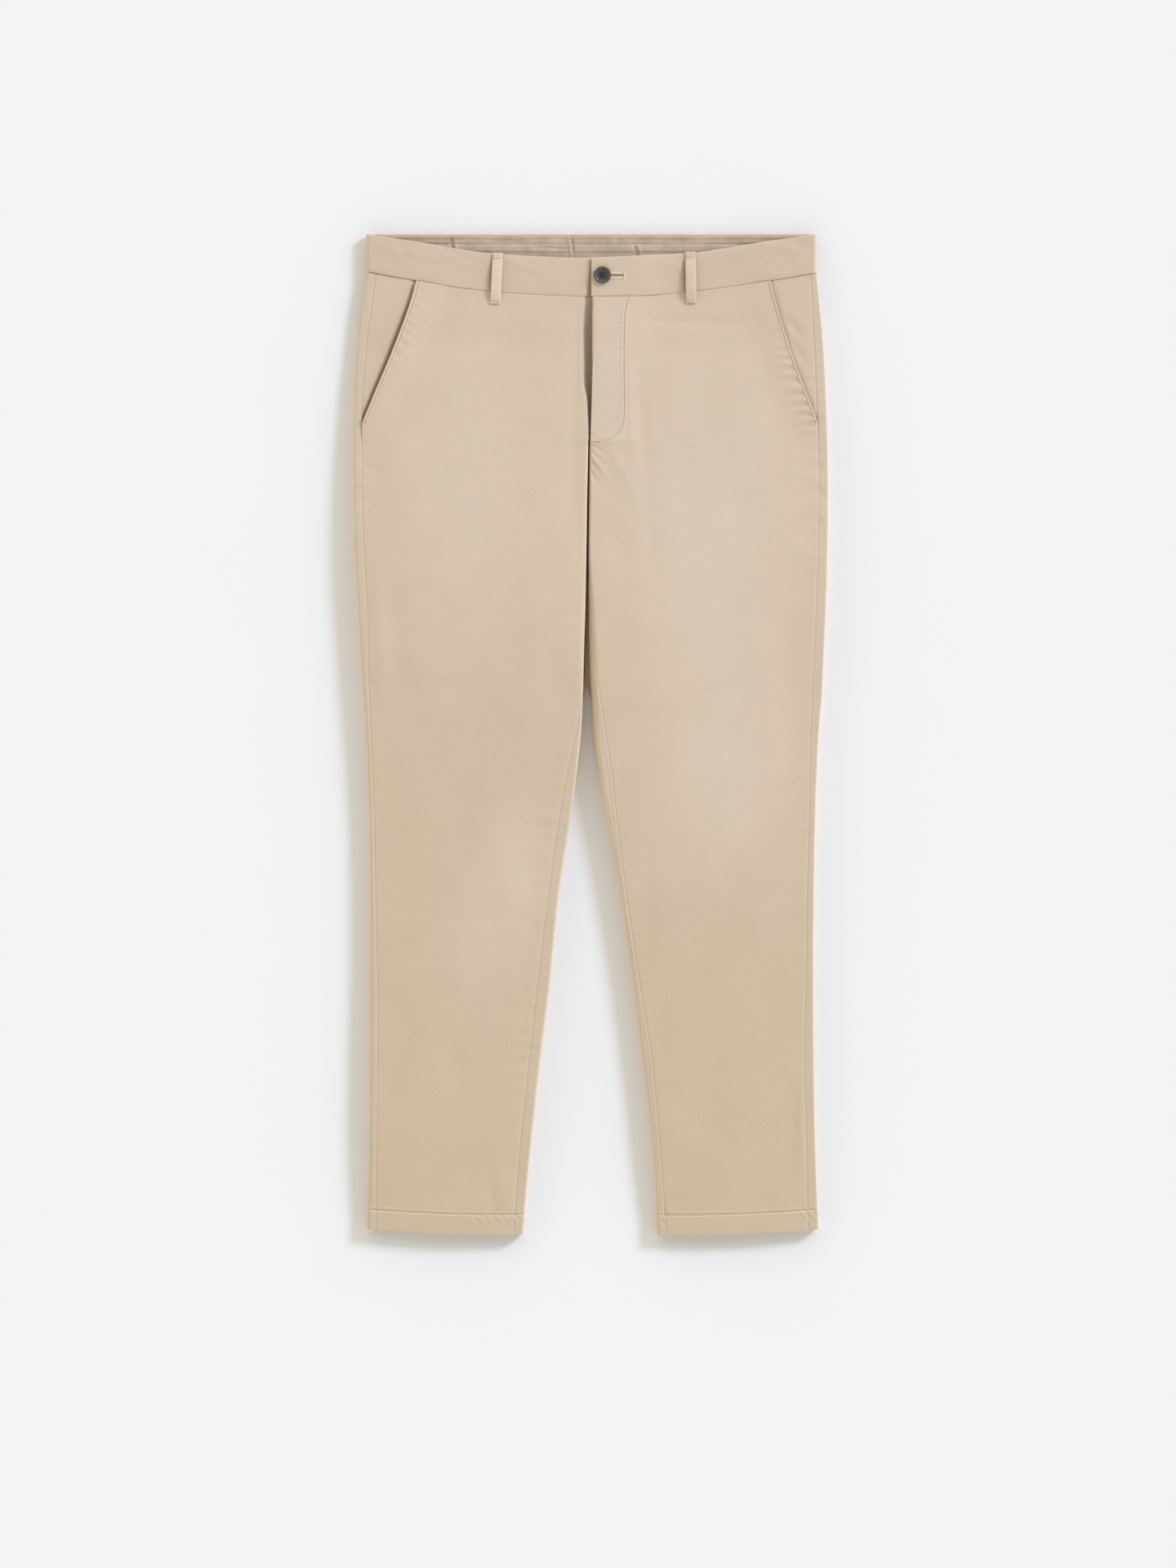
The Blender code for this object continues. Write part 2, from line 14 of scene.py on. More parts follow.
import bmesh
import bpy
import numpy as np
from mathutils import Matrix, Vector


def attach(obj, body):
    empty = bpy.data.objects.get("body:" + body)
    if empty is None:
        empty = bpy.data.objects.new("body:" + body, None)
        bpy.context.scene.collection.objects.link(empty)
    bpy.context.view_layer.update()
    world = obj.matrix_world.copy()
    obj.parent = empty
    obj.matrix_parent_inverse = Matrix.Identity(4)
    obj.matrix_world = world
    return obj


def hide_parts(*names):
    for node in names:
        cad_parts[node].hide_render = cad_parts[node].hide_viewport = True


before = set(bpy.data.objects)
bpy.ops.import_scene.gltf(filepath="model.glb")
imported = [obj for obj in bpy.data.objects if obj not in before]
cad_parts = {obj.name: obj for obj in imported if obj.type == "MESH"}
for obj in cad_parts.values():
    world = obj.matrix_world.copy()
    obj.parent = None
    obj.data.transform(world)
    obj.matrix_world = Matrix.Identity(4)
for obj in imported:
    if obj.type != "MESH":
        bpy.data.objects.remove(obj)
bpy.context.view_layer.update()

LOG = logging.getLogger("chinos")
MM = 0.001
Array = np.ndarray
Grid = tuple[Array, Array, Array]

# Walls and levels, in millimetres
CLOTH = 0.8
BAND = 2.0
HEM_WALL = 1.8           # the hem is turned up twice
SEAM_GAP = 0.3           # between the band and the panels
PANEL_GAP = 0.1          # between panels sewn edge to edge
SEAT_LIFT = 2.0          # the waist end rides up on the belt loops underneath
CROWN = 1.1              # how far the middle of a leg stands above its rolled edges
FLATTENED = 0.7          # the share of it that the band takes away at the waist
CROWN_REACH = (0.0, 60.0)    # where the crown sets in, measured inwards from the rolls
UNDER_REACH = 3.0        # how far in the rolls at both edges reach underneath

# Lengths along the garment
BAND_SEAM_Y = 487.0
BACK_TOP_Y = 526.5
FLY_END_Y = 308.0
POCKET_END_Y = 326.0
CROTCH_Y = 154.0
HEM_Y = -520.0
HEM_LINE = -499.5        # the stitches that hold the hem
WARP_REACH = 95.0

# The band's levels: the middle of its wall above the table
BAND_BACK_Z = 3.1
BAND_FRONT_Z = 8.8
BAND_LAP_Z = 11.4
BAND_UNDERLAP_X = 38.0
LINING_Z = 4.9
LINING_STITCH_Y = 516.0

FLY_UNDERLAP_X = 9.0
FLY_FACING_WIDTH = 35.0
FLY_LIFT = 3.4
FLY_CLOSED = 0.25        # the share of the lift that is left at the fly's end
POCKET_LIFT = 1.8
POCKET_BEAD = 2.6        # from the folded edge of a pocket to its stitches
BEAD_WIDTH = 5.0         # the pocket's tucks are highest this far in from its edge
FACING_UNDERLAP = 14.0
FACING_DROP = 0.1        # how far the facing lies below the side of the leg
FELL = 2.3               # width of the seam allowance felled down beside the left inseam
SWELL_Y = 60.0           # where the inner edges stand highest, and over what length
SWELL_LENGTH = 130.0
SWELL_SHARES = (0.2, 1.0)    # and from where to where across a leg it sets in
HIP_Y = 265.0            # where the side seam tucks most, and over what length
HIP_LENGTH = 75.0
VALLEY_TURN = 0.28       # how far up the inner roll the front ends in the valley
FORK_FOLD = 1.9          # height of the back fork's spare cloth, folded under the crotch

# Stretches over which a form sets in, from none of it to all of it. Up the garment:
SEAT_ZONE = (400.0, 462.0)
WAIST_ZONE = (380.0, 470.0)
FORK_ZONE = (24.0, 56.0)
POCKET_ZONE = (300.0, 332.0)
POCKET_TUCK_ZONE = (300.0, 330.0)
BEAD_ZONE = (POCKET_END_Y - 2.0, POCKET_END_Y + 5.0)
SLANT_ZONE = (POCKET_END_Y - 4.0, POCKET_END_Y + 4.0)
FLY_SINK_ZONE = (FLY_END_Y - 8.0, FLY_END_Y + 3.0)
FLY_LAP_ZONE = (FLY_END_Y - 16.0, FLY_END_Y + 4.0)
FLY_OPEN_ZONE = (FLY_END_Y, 405.0)
FLY_TUCK_ZONE = (300.0, 322.0)
FLY_CREST_ZONE = (FLY_END_Y - 14.0, FLY_END_Y + 22.0)
# Towards the pocket's edge, and from the left towards the fly:
POCKET_RAMP = (-38.0, -4.0)
FLY_RAMP = (-FLY_FACING_WIDTH - 42.0, -FLY_FACING_WIDTH + 4.0)
# Down the garment, so with the sign of y turned:
INSEAM_ZONE = (-CROTCH_Y, -CROTCH_Y + 30.0)
SEAT_ROLL_ZONE = (-CROTCH_Y - 7.0, -CROTCH_Y + 7.0)
INSEAM_END_ZONE = (-CROTCH_Y - 12.0, -CROTCH_Y)
HEM_TURN_ZONE = (-HEM_LINE, -HEM_LINE + 2.0)


class Station(NamedTuple):
    """One row of a leg.

    The edges of the outline, how far in from each its seam lies, how high the top layer
    stands above the bottom one, and how far in the inner edge's roll reaches.
    """

    y: float
    outer: float
    side_seam: float
    inner: float
    leg_seam: float
    rise: float
    inner_reach: float


class Waist(NamedTuple):
    """One row of the front waist: the band's top edge and the seam below it."""

    x: float
    top: float
    seam: float


class Fold(NamedTuple):
    """A soft fold along a line: half-width of its slope, height, and an abrupt start."""

    x0: float
    y0: float
    x1: float
    y1: float
    half_width: float
    height: float
    sharp_start: float = 0.0


class PathPoints(NamedTuple):
    """Points along a sewn line, in millimetres."""

    x: Array
    y: Array
    z: Array


class Ridge(NamedTuple):
    """A ridge beside a line, or a groove where its height is negative."""

    at: float
    half_width: float
    height: float


class Tucks(NamedTuple):
    """Small uneven ridges square to a seam, as from thread sewn a little tight."""

    spacing: float
    height: float
    reach: float

    def lift(self, along: Array, away: Array, turn: float) -> Array:
        """Height of the tucks.

        A sine of the distance along the seam, its phase and height swung by slower
        sines, fading as exp(-(away / reach)^2).

        Args:
            along: distance along the seam.
            away: distance from it.
            turn: shifts the slower sines.

        Returns:
            The height at each place.
        """
        phase = 2 * math.pi * along / self.spacing + 1.4 * np.sin(along / 23.0 + turn)
        phase = phase + 0.8 * np.sin(along / 9.1 + 2.0 * turn)
        swing = 0.55 + 0.45 * np.sin(along / 37.0 + 1.7 * turn)
        return self.height * swing * np.sin(phase) * bell(away, self.reach)


class Wave(NamedTuple):
    """A slow wave: its height, and its length per radian across and along."""

    height: float
    across: float
    along: float

    def lift(self, x: Array, y: Array, turn_x: float, turn_y: float | Array) -> Array:
        """Product of a sine across and a sine along, each with its own turn."""
        return self.height * np.sin(x / self.across + turn_x) * np.sin(y / self.along + turn_y)


# Ridges and grooves beside the sewn lines, the tucks along them, and slow waves
SEAM_DITCH = (Ridge(0.0, 0.9, -0.38),)
FELL_GROOVE = (Ridge(-FELL, 0.6, -0.26),)
FELL_HEIGHT = 0.18
HEM_RELIEF = (Ridge(2.2, 1.2, 0.35), Ridge(0.0, 0.7, -0.32))
BEAD_RELIEF = (Ridge(0.7, 0.9, 0.7), Ridge(POCKET_BEAD, 0.6, -0.5), Ridge(POCKET_BEAD + 1.1, 0.8, 0.4))
FLY_RELIEF = (Ridge(1.6, 0.8, 0.3), Ridge(0.0, 0.8, -0.6))
TAPE_GROOVE = (Ridge(LINING_STITCH_Y, 0.9, -0.9),)
SIDE_TUCKS = Tucks(15.0, 1.0, 9.0)
INSEAM_TUCKS = Tucks(19.0, 1.0, 8.0)
HEM_TUCKS = Tucks(9.0, 0.3, 9.0)
POCKET_TUCKS = Tucks(11.0, 1.1, 12.0)
FLY_TUCKS = Tucks(9.0, 0.26, 9.0)
PANEL_WAVE = Wave(0.22, 31.0, 44.0)
SLANT_WAVE = Wave(0.12, 13.0, 29.0)
BAND_WAVE = Wave(0.28, 27.0, 9.0)
TAPE_WAVE = Wave(0.35, 17.0, 5.5)

RIGHT_STATIONS = [Station(*row) for row in (
    (487, -236, 10.5, -1.5, 0, 6.4, 1.4),
    (412, -246, 10.5, -1.5, 0, 9, 1.4),
    (326, -249.5, 9.5, -1.7, 0, 12.5, 1.4),
    (258, -250, 9.5, -3, 0, 14.5, 1.4),
    (172, -247.5, 10.5, -4.4, 0, 15.5, 1.4),
    (129, -245, 10.5, -5.4, -1.5, 15.5, 1.4),
    (86, -242.5, 9, -6.8, -1, 15.5, 1.4),
    (43, -239.5, 7, -7.8, 0.5, 15, 1.4),
    (0, -236.5, 5.5, -10, 5.5, 14.5, 1.4),
    (-43, -234.5, 5.5, -14.5, 11, 14, 1.4),
    (-86, -233, 5.5, -20.5, 12.5, 13.5, 1.4),
    (-172, -232, 6, -33.5, 11.5, 13.4, 1.4),
    (-258, -232, 8, -42, 13.5, 13.8, 1.4),
    (-344, -232.5, 8.5, -52.5, 12.5, 14.4, 1.4),
    (-430, -233, 8.5, -62, 12, 14.4, 1.4),
    (-520, -235, 9, -71, 10.5, 10.2, 1.6),
)]
LEFT_STATIONS = [Station(*row) for row in (
    (487, 238, 6.5, -1, 0, 6.4, 3),
    (412, 245, 10, -1, 0, 9, 3),
    (326, 249, 10.5, -1, 0, 12.5, 3),
    (258, 250, 10.5, -1.6, 0, 14.5, 2.6),
    (172, 249, 11, -2.2, 0, 15.5, 3.4),
    (129, 247.5, 11, -1.8, 0, 15.5, 7.5),
    (86, 245.5, 11, -1.2, 4.7, 15.5, 9),
    (43, 243.5, 11, 0.6, 8.9, 15, 8.5),
    (0, 240, 9, 3.6, 11.9, 14.5, 5.5),
    (-43, 238, 8, 9.2, 13.3, 14.8, 4),
    (-86, 236.5, 7, 17, 10, 14.8, 3.4),
    (-172, 235, 8, 31.5, 6.5, 14.6, 2.8),
    (-258, 234.5, 8.5, 44, 7, 14, 2.6),
    (-344, 235, 10.5, 55, 9.5, 13.8, 2.6),
    (-430, 236.5, 10, 64.5, 8, 13.4, 2.6),
    (-520, 239.5, 11, 70.5, 9, 10.2, 2.6),
)]
FRONT_WAIST = [Waist(*row) for row in (
    (-236, 526.5, 487),
    (-185, 518.5, 477.6),
    (-106, 506, 466.2),
    (-55, 502.8, 462.7),
    (0, 501.3, 460.6),
    (50, 503.6, 461.2),
    (110, 507, 466.6),
    (185, 518.5, 476.6),
    (238, 526.5, 485.6),
)]
# Pocket openings, fly edge and centre back as (y, x) pairs
RIGHT_SLANT = ((487, -183), (457, -190.5), (404, -208), (362, -225.5), (326, -240.5))
LEFT_SLANT = ((487, 188.5), (432, 202), (389, 215), (354, 228.5), (326, 239))
FLY_EDGE = ((462, 2.5), (400, 2.5), (340, 1), (308, 0))
# Where the right front starts to sink towards the fly, and how deep it gets there
FLY_BROW = ((487, -7), (465, -9), (430, -9.6), (395, -9), (364, -7.4), (353, -4.4),
            (340, -3.6), (308, -2.4))
FLY_DEPTH = ((487, 2.6), (470, 4.6), (450, 6.4), (430, 7.2), (390, 8.2), (345, 8.6), (308, 4))
CENTRE_BACK = ((487, -21), (154, -3))
# The J of stitches that holds the fly facing, as (y, x) points along it
FLY_STITCH = ((486, 39.6), (474, 36.8), (455, 35.4), (425, 34.9), (385, 34.8), (345, 35.2),
              (331, 34.4), (320, 31.2), (312.4, 24.6), (308.8, 15.6), (307.6, 9.5))

RIGHT_FOLDS = [Fold(*row) for row in (
    (-190, 372, -180, 285, 20, -0.6),
    (-112, 446, -100, 405, 16, -0.4),
    (-60, 240, -52, 165, 25, -0.7),
    (-4, 320, -6, 190, 5, 0.5),
    (-18, 375, -19, 215, 9, -0.8),
    (-15, 475, -16, 330, 6, -0.6),
    (-239, 247, -215, 236, 4, -0.6, 1),
    (-239, 262, -222, 262, 5, 0.4, 1),
    (-238, 285, -210, 268, 4, -0.4, 1),
    (-226, 175, -218, 40, 8, 0.8),
    (-206, 165, -200, 20, 12, -0.7),
    (-40, 90, -28, 15, 14, -0.8),
    (-120, 0, -152, -160, 22, -0.7),
    (-205, -85, -170, -210, 30, -0.6),
    (-62, -95, -84, -195, 24, 1.4),
    (-46, -100, -60, -118, 4, -0.5, 1),
    (-78, -186, -52, -212, 8, -0.5),
    (-50, -214, -68, -233, 4, 0.4, 1),
    (-140, -215, -120, -330, 30, 0.6),
    (-151, -312, -132, -392, 12, -0.6),
    (-106, -462, -103, -502, 5, -0.6),
    (-92, -464, -85, -500, 8, 0.6),
    (-88, -446, -72, -466, 6, -0.4),
    (-215, -400, -200, -470, 22, -0.4),
)]
LEFT_FOLDS = [Fold(*row) for row in (
    (45, 455, 165, 438, 8, -0.8),
    (66, 400, 100, 355, 26, 0.7),
    (122, 395, 118, 318, 19, -0.6),
    (142, 415, 178, 235, 30, 0.9),
    (42, 395, 44, 300, 3.5, 0.5),
    (48, 392, 60, 255, 7, -1.1),
    (61, 300, 64, 120, 11, -0.7),
    (-1, 313.5, 17, 317, 1.3, -0.9, 1),
    (-1, 305, 14, 297, 1.9, -1.7, 1),
    (-1, 299, 12, 285, 1.9, -2, 1),
    (-1, 290, 10, 273, 2, -2.3, 1),
    (2, 294, 23, 260, 3, 0.7, 1),
    (-1.5, 280, 7, 263, 2.2, -2.6, 1),
    (16, 308, 40, 311, 3, 0.4),
    (20, 304, 54, 236, 6, 0.6, 0.6),
    (32, 225, 38, 158, 14, -0.9),
    (140, 142, 150, 112, 18, -0.5),
    (241, 222, 218, 203, 4, -1, 1),
    (241, 238, 200, 231, 7, 0.8, 1),
    (241, 255, 212, 251, 4, -1, 1),
    (240, 268, 190, 285, 4, 0.4, 1),
    (240, 281, 222, 277, 3, -0.6, 1),
    (240, 298, 226, 299, 3, -0.5, 1),
    (232, 205, 180, 165, 24, 0.8),
    (204, 130, 216, -20, 22, -0.9),
    (62, -5, 165, -95, 42, 1.3),
    (57, -120, 60, -200, 8, -0.5),
    (82, -145, 112, -210, 20, -0.7),
    (150, -150, 185, -215, 32, 0.7),
    (190, -245, 186, -380, 16, -0.6),
    (211, -372, 212, -462, 7, -0.5),
    (220, -350, 221, -460, 5, 0.4),
    (93, -382, 127, -414, 18, -0.9),
    (150, -420, 165, -490, 24, 0.5),
    (78, -492, 88, -499, 3, 0.5),
    (206, 440, 222, 420, 5, -0.8),
    (212, 415, 224, 392, 4.5, -0.6),
)]
BACK_FOLDS = [Fold(*row) for row in (
    (-180, 300, -90, 190, 20, 0.9),
    (150, 330, 70, 215, 22, 0.8),
    (30, 120, 90, 60, 14, 0.7),
    (-45, 110, -110, 40, 12, 0.8),
    (-190, -90, -90, -150, 16, 0.9),
    (90, -120, 200, -160, 18, 0.8),
    (-160, -330, -110, -400, 14, 0.7),
    (120, -360, 180, -410, 15, 0.7),
)]
RIGHT_BAND_FOLDS = [Fold(*row) for row in (
    (-225, 515, -150, 497, 4, 0.5),
    (-205, 519, -190, 503, 4, -0.5),
    (-160, 513, -128, 500, 3.5, -0.5),
    (-90, 503, -62, 487, 4, 0.45),
    (-78, 492, -52, 478, 5, -0.4),
    (-103.4, 502, -105.2, 464, 1.3, -1.6),
)]
LEFT_BAND_FOLDS = [Fold(*row) for row in (
    (62, 500, 98, 488, 5, 0.35),
    (120, 496, 200, 500, 5, -0.4),
    (170, 519, 228, 505, 4.5, 0.5),
    (205, 522, 232, 512, 3, -0.5),
    (99.4, 500, 99.6, 464, 1.8, -2),
)]

LINING_FOLDS = [Fold(*row) for row in (
    (-143, 524, -141, 505, 2.2, 0.9),
    (-146.5, 523, -145, 503, 1.4, -2.2),
    (-22.5, 526, -20, 500, 1.4, 1.2),
    (-20, 522, -18, 500, 1.3, -2.6),
    (50, 516, 53, 500, 1.5, 0.9),
    (47, 514, 50, 500, 1.4, -2.4),
    (-110, 519, -60, 517.5, 2.2, -0.7),
    (-60, 513, -10, 510, 2, -0.7),
    (70, 519, 118, 519, 2, -0.6),
)]


class PaintedLightPatch(NamedTuple):
    """A soft patch of painted light: the cloth drawn paler where the light falls stronger."""

    x: float
    y: float
    half_width: float
    half_length: float
    amount: float


# Painted light: a broad paler upper half, nearer the light, and soft pools of light on the legs.
PAINTED_LIGHT_PATCHES = [PaintedLightPatch(*row) for row in (
    (0, 330, 420, 330, 0.42),
    (135, 190, 85, 190, 0.42),
    (-135, 210, 60, 190, 0.22),
    (22, 400, 16, 90, 0.30),
    (130, -80, 95, 85, 0.42),
    (-82, -140, 32, 75, 0.55),
    (-125, -215, 28, 60, 0.25),
    (165, 20, 60, 90, 0.2),
)]


def mix(a: Array, b: Array, share: Array) -> Array:
    """Goes from a to b as share goes from 0 to 1."""
    return a + (b - a) * share


def step(at: Array, low: float, high: float) -> Array:
    """Rises softly from 0 at low to 1 at high: 3u^2 - 2u^3."""
    u = np.clip((np.asarray(at, float) - low) / (high - low), 0.0, 1.0)
    return u * u * (3 - 2 * u)


def bell(away: Array, half_width: float) -> Array:
    """1 in the middle and exp(-(away / half width)^2) away from it."""
    return np.exp(-(away / half_width) ** 2)


def shares(count: int) -> Array:
    """Even shares from 0 to 1."""
    return np.linspace(0.0, 1.0, count)


def ridges(away: Array, rows: Sequence[Ridge]) -> Array:
    """Sum of the ridges' bells by the distance from their line."""
    return sum(row.height * bell(away - row.at, row.half_width) for row in rows)


def smooth(at: Array, knots: Sequence[float], values: Sequence[float]) -> Array:
    """Cubic curve through knots, each slope the mean of its neighbours' slopes.

    Args:
        at: where to read the curve.
        knots: positions, in any order.
        values: the curve's values there.

    Returns:
        The curve at each place; it stays level past the ends.
    """
    order = np.argsort(knots)
    knots = np.asarray(knots, float)[order]
    values = np.asarray(values, float)[order]
    slopes = np.gradient(values, knots)
    at = np.asarray(at, float)
    k = np.clip(np.searchsorted(knots, at, side="right") - 1, 0, len(knots) - 2)
    width = knots[k + 1] - knots[k]
    u = np.clip((at - knots[k]) / width, 0.0, 1.0)
    near = (1 + 2 * u) * (1 - u) ** 2 * values[k] + u * (1 - u) ** 2 * width * slopes[k]
    far = u * u * (3 - 2 * u) * values[k + 1] + u * u * (u - 1) * width * slopes[k + 1]
    return near + far


def pairs(at: Array, table: Sequence[tuple[float, float]]) -> Array:
    """Reads a table of (position, value) pairs as a smooth curve."""
    return smooth(at, [row[0] for row in table], [row[1] for row in table])


def fold_height(folds: Sequence[Fold], x: Array, y: Array) -> Array:
    """Sum of soft folds.

    Each is a bell over its line, times 1/4 + 3u(1 - u) along it, or times 1 - 0.85u where
    it starts sharply at a seam; past the ends it is a round bell.

    Args:
        folds: the folds.
        x: where to read them, across.
        y: and along.

    Returns:
        Their height at each place.
    """
    total = np.zeros(np.broadcast(x, y).shape)
    for fold in folds:
        run_x = fold.x1 - fold.x0
        run_y = fold.y1 - fold.y0
        length = math.hypot(run_x, run_y)
        u = ((x - fold.x0) * run_x + (y - fold.y0) * run_y) / length ** 2
        across = ((x - fold.x0) * run_y - (y - fold.y0) * run_x) / length
        inside = np.clip(u, 0.0, 1.0)
        past = (u - inside) * length
        taper = mix(0.25 + 3.0 * inside * (1 - inside), 1.0 - 0.85 * inside, fold.sharp_start)
        total = total + fold.height * taper * bell(np.hypot(across, past), fold.half_width)
    return total


class Edge(Enum):
    """The two long edges of a leg's flattened tube."""

    OUTER = "outer"
    INNER = "inner"


@dataclass(frozen=True)
class Leg:
    """Half of the garment: its outline, its seams and the height of its layers.

    hem_bow is how far the hem bows down, swell how much the inner thigh stands up, gape
    how far the pocket opens, and outer_reach how far in the outer roll reaches. widest_at
    is the share of the height at which the outer edge is widest, and pinch_slant the
    slope of the pocket's tucks. felled is 1 where the inseam is felled down, each tucks
    field is the strength of a seam's tucks, and turn shifts the waves, so that the legs
    differ.
    """

    name: str
    side: float
    stations: list[Station]
    slant: tuple[tuple[float, float], ...]
    folds: list[Fold]
    band_folds: list[Fold]
    hem_bow: float
    swell: float
    gape: float
    outer_reach: float
    widest_at: float
    pinch_slant: float
    felled: float
    hip_tucks: float
    inseam_tucks: float
    turn: float
    side_tucks: float = 0.14

    def column(self, field_name: str, y: Array) -> Array:
        """A column of the station table as a smooth curve down the leg."""
        knots = [row.y for row in self.stations]
        return smooth(y, knots, [getattr(row, field_name) for row in self.stations])

    def inward(self, which: Edge) -> float:
        """The direction in x from an edge into the leg."""
        return -self.side if which is Edge.OUTER else self.side

    def edge(self, which: Edge, y: Array) -> Array:
        """An edge of the outline, at the middle of the wall."""
        return self.column(which.value, y) + self.inward(which) * CLOTH / 2

    def inset(self, which: Edge, x: Array, y: Array) -> Array:
        """How far in from an edge x lies."""
        return self.inward(which) * (x - self.edge(which, y))

    def side_seam(self, y: Array) -> Array:
        """Where the side seam lies on the top layer."""
        return self.column("outer", y) - self.side * self.column("side_seam", y)

    def leg_seam(self, y: Array) -> Array:
        """Where the inside-leg seam lies on the top layer."""
        return self.column("inner", y) + self.side * self.column("leg_seam", y)

    def pocket_edge(self, y: Array) -> Array:
        """The slanting edge of the pocket opening."""
        return pairs(y, self.slant)

    def base(self, y: Array) -> Array:
        """Middle of the back panel's wall, raised by the loops at the waist and by the hem."""
        turned_up = (HEM_WALL - CLOTH) / 2 * step(-y, *HEM_TURN_ZONE)
        return SEAT_LIFT * step(y, *SEAT_ZONE) + CLOTH / 2 + turned_up

    def rise(self, share: Array, y: Array) -> Array:
        """Height of the top layer above the bottom one, with a swell at the inner thigh.

        Args:
            share: how far across, from 0 at the outer edge to 1 at the inner one.
            y: where along the leg.

        Returns:
            The station table's rise, plus a bell of the swell.
        """
        swell = self.swell * bell(y - SWELL_Y, SWELL_LENGTH) * step(share, *SWELL_SHARES)
        return self.column("rise", y) + swell

    def share(self, x: Array, y: Array) -> Array:
        """How far x lies from the outer edge towards the inner one, from 0 to 1."""
        width = np.abs(self.edge(Edge.OUTER, y) - self.edge(Edge.INNER, y))
        return np.clip(self.inset(Edge.OUTER, x, y) / width, 0.0, 1.0)

    def reach(self, which: Edge, y: Array) -> Array:
        """How far in from an edge its roll reaches on top."""
        return self.outer_reach + 0 * y if which is Edge.OUTER else self.column("inner_reach", y)

    def seam_turn(self, which: Edge, y: Array) -> Array:
        """Where a seam lies as an edge coordinate.

        Args:
            which: the edge beside the seam.
            y: where along the leg.

        Returns:
            The coordinate that roll_point reads.
        """
        outer = which is Edge.OUTER
        inset = self.column("side_seam" if outer else "leg_seam", y) - CLOTH / 2
        reach = self.reach(which, y)
        rising = np.arccos(1 - np.clip(inset / reach, 0, 1)) / (math.pi / 2)
        under = -np.arccos(1 - np.clip(-inset / UNDER_REACH, 0, 1)) / (math.pi / 2)
        return np.where(inset > reach, inset / reach, np.where(inset >= 0, rising, under))

    def roll_point(self, which: Edge, y: Array, e: Array) -> Grid:
        """A point on a rolled edge.

        From e = -1 to 0 it follows a quarter ellipse from the underside out to the edge,
        from 0 to 1 a wider quarter ellipse up to the top, and past 1 the top layer.

        Args:
            which: the edge.
            y: where along the leg.
            e: the edge coordinate.

        Returns:
            The points.
        """
        reach = self.reach(which, y)
        angle = np.clip(e, -1.0, 1.0) * math.pi / 2
        inset = np.where(e < 0, UNDER_REACH, reach) * (1 - np.cos(angle))
        inset = np.where(e > 1, reach * e, inset)
        x = self.edge(which, y) + self.inward(which) * inset
        rise = self.rise(np.where(which is Edge.OUTER, 0.0, 1.0), y)
        widest = self.widest_at if which is Edge.OUTER else 0.5
        z = self.base(y) + rise * (widest + np.where(e > 0, 1 - widest, widest) * np.sin(angle))
        z = z + self.surface_relief(x, y) * np.clip(e, 0.0, 1.0)
        return x, y + 0 * x, z + self.crown(x, y) * np.clip(2 * e - 1, 0.0, 1.0)

    def crown(self, x: Array, y: Array) -> Array:
        """Extra height away from the edges: the middle crown and the folds.

        Args:
            x, y: where, across and along the leg.

        Returns:
            The height, which is nothing at the rolls and less under the band.
        """
        from_outer = self.inset(Edge.OUTER, x, y) - self.outer_reach
        from_inner = self.inset(Edge.INNER, x, y) - self.reach(Edge.INNER, y)
        from_inner = from_inner + 2 * FLY_FACING_WIDTH * step(y, *FLY_CREST_ZONE)
        nearest = np.minimum(from_outer, from_inner)
        near_waist = 1.0 - FLATTENED * step(y, *WAIST_ZONE)
        folds = fold_height(self.folds, x, y) * step(nearest, -3.0, 1.0)
        return CROWN * step(nearest, *CROWN_REACH) * near_waist + folds

    def surface_relief(self, x: Array, y: Array) -> Array:
        """Seam ditches with their tucks, the hem's turn-up, and a plain and a slanting wave.

        Args:
            x, y: where, across and along the leg.

        Returns:
            The height to add to the top layer.
        """
        seam = self.side * (self.side_seam(y) - x)
        leg = self.side * (x - self.leg_seam(y))
        below_crotch = step(-y, *INSEAM_ZONE)
        fell = FELL_HEIGHT * step(-leg, 0.2, 0.7) * step(leg, -FELL - 0.7, -FELL) + ridges(leg, FELL_GROOVE)
        ditch = ridges(seam, SEAM_DITCH) + below_crotch * (ridges(leg, SEAM_DITCH) + self.felled * fell)
        strength = self.side_tucks + self.hip_tucks * bell(y - HIP_Y, HIP_LENGTH)
        tucks = SIDE_TUCKS.lift(y, seam, self.turn) * strength
        tucks = tucks + (INSEAM_TUCKS.lift(y, np.minimum(leg, 0.4 * leg), self.turn + 2.0)
                         * self.inseam_tucks * below_crotch)
        to_hem = y - HEM_LINE
        hem = ridges(to_hem, HEM_RELIEF) + HEM_TUCKS.lift(x + 0.8 * y, to_hem + 6.0, self.turn + 1.0)
        slanting = np.sin(x / SLANT_WAVE.across - y / SLANT_WAVE.along + 3.0 * self.turn)
        slow = PANEL_WAVE.lift(x, y, self.turn, 0.6 * self.turn) + SLANT_WAVE.height * slanting
        return ditch + tucks + hem + slow

    def top(self, x: Array, y: Array) -> Array:
        """Middle of the top layer's wall, away from the rolls."""
        lift = self.base(y) + self.rise(self.share(x, y), y)
        return lift + self.surface_relief(x, y) + self.crown(x, y)

    def height(self, x: Array, y: Array) -> Array:
        """Middle of the top layer's wall anywhere, rolls and laps included.

        Args:
            x, y: where, across and along the leg.

        Returns:
            The height above the table.
        """
        from_outer = self.inset(Edge.OUTER, x, y) / self.outer_reach
        from_inner = self.inset(Edge.INNER, x, y) / self.reach(Edge.INNER, y)
        from_inner = from_inner + 2.0 * step(y, FLY_END_Y - 6.0, FLY_END_Y)
        rolled = np.clip(np.minimum(from_outer, from_inner), 0.0, 1.0)
        above = np.where(from_outer < from_inner, 1 - self.widest_at, 0.5)
        drop = self.rise(self.share(x, y), y) * above * (1 - np.sin(np.arccos(1 - rolled)))
        return self.top(x, y) + self.front_lift(x, y) - drop

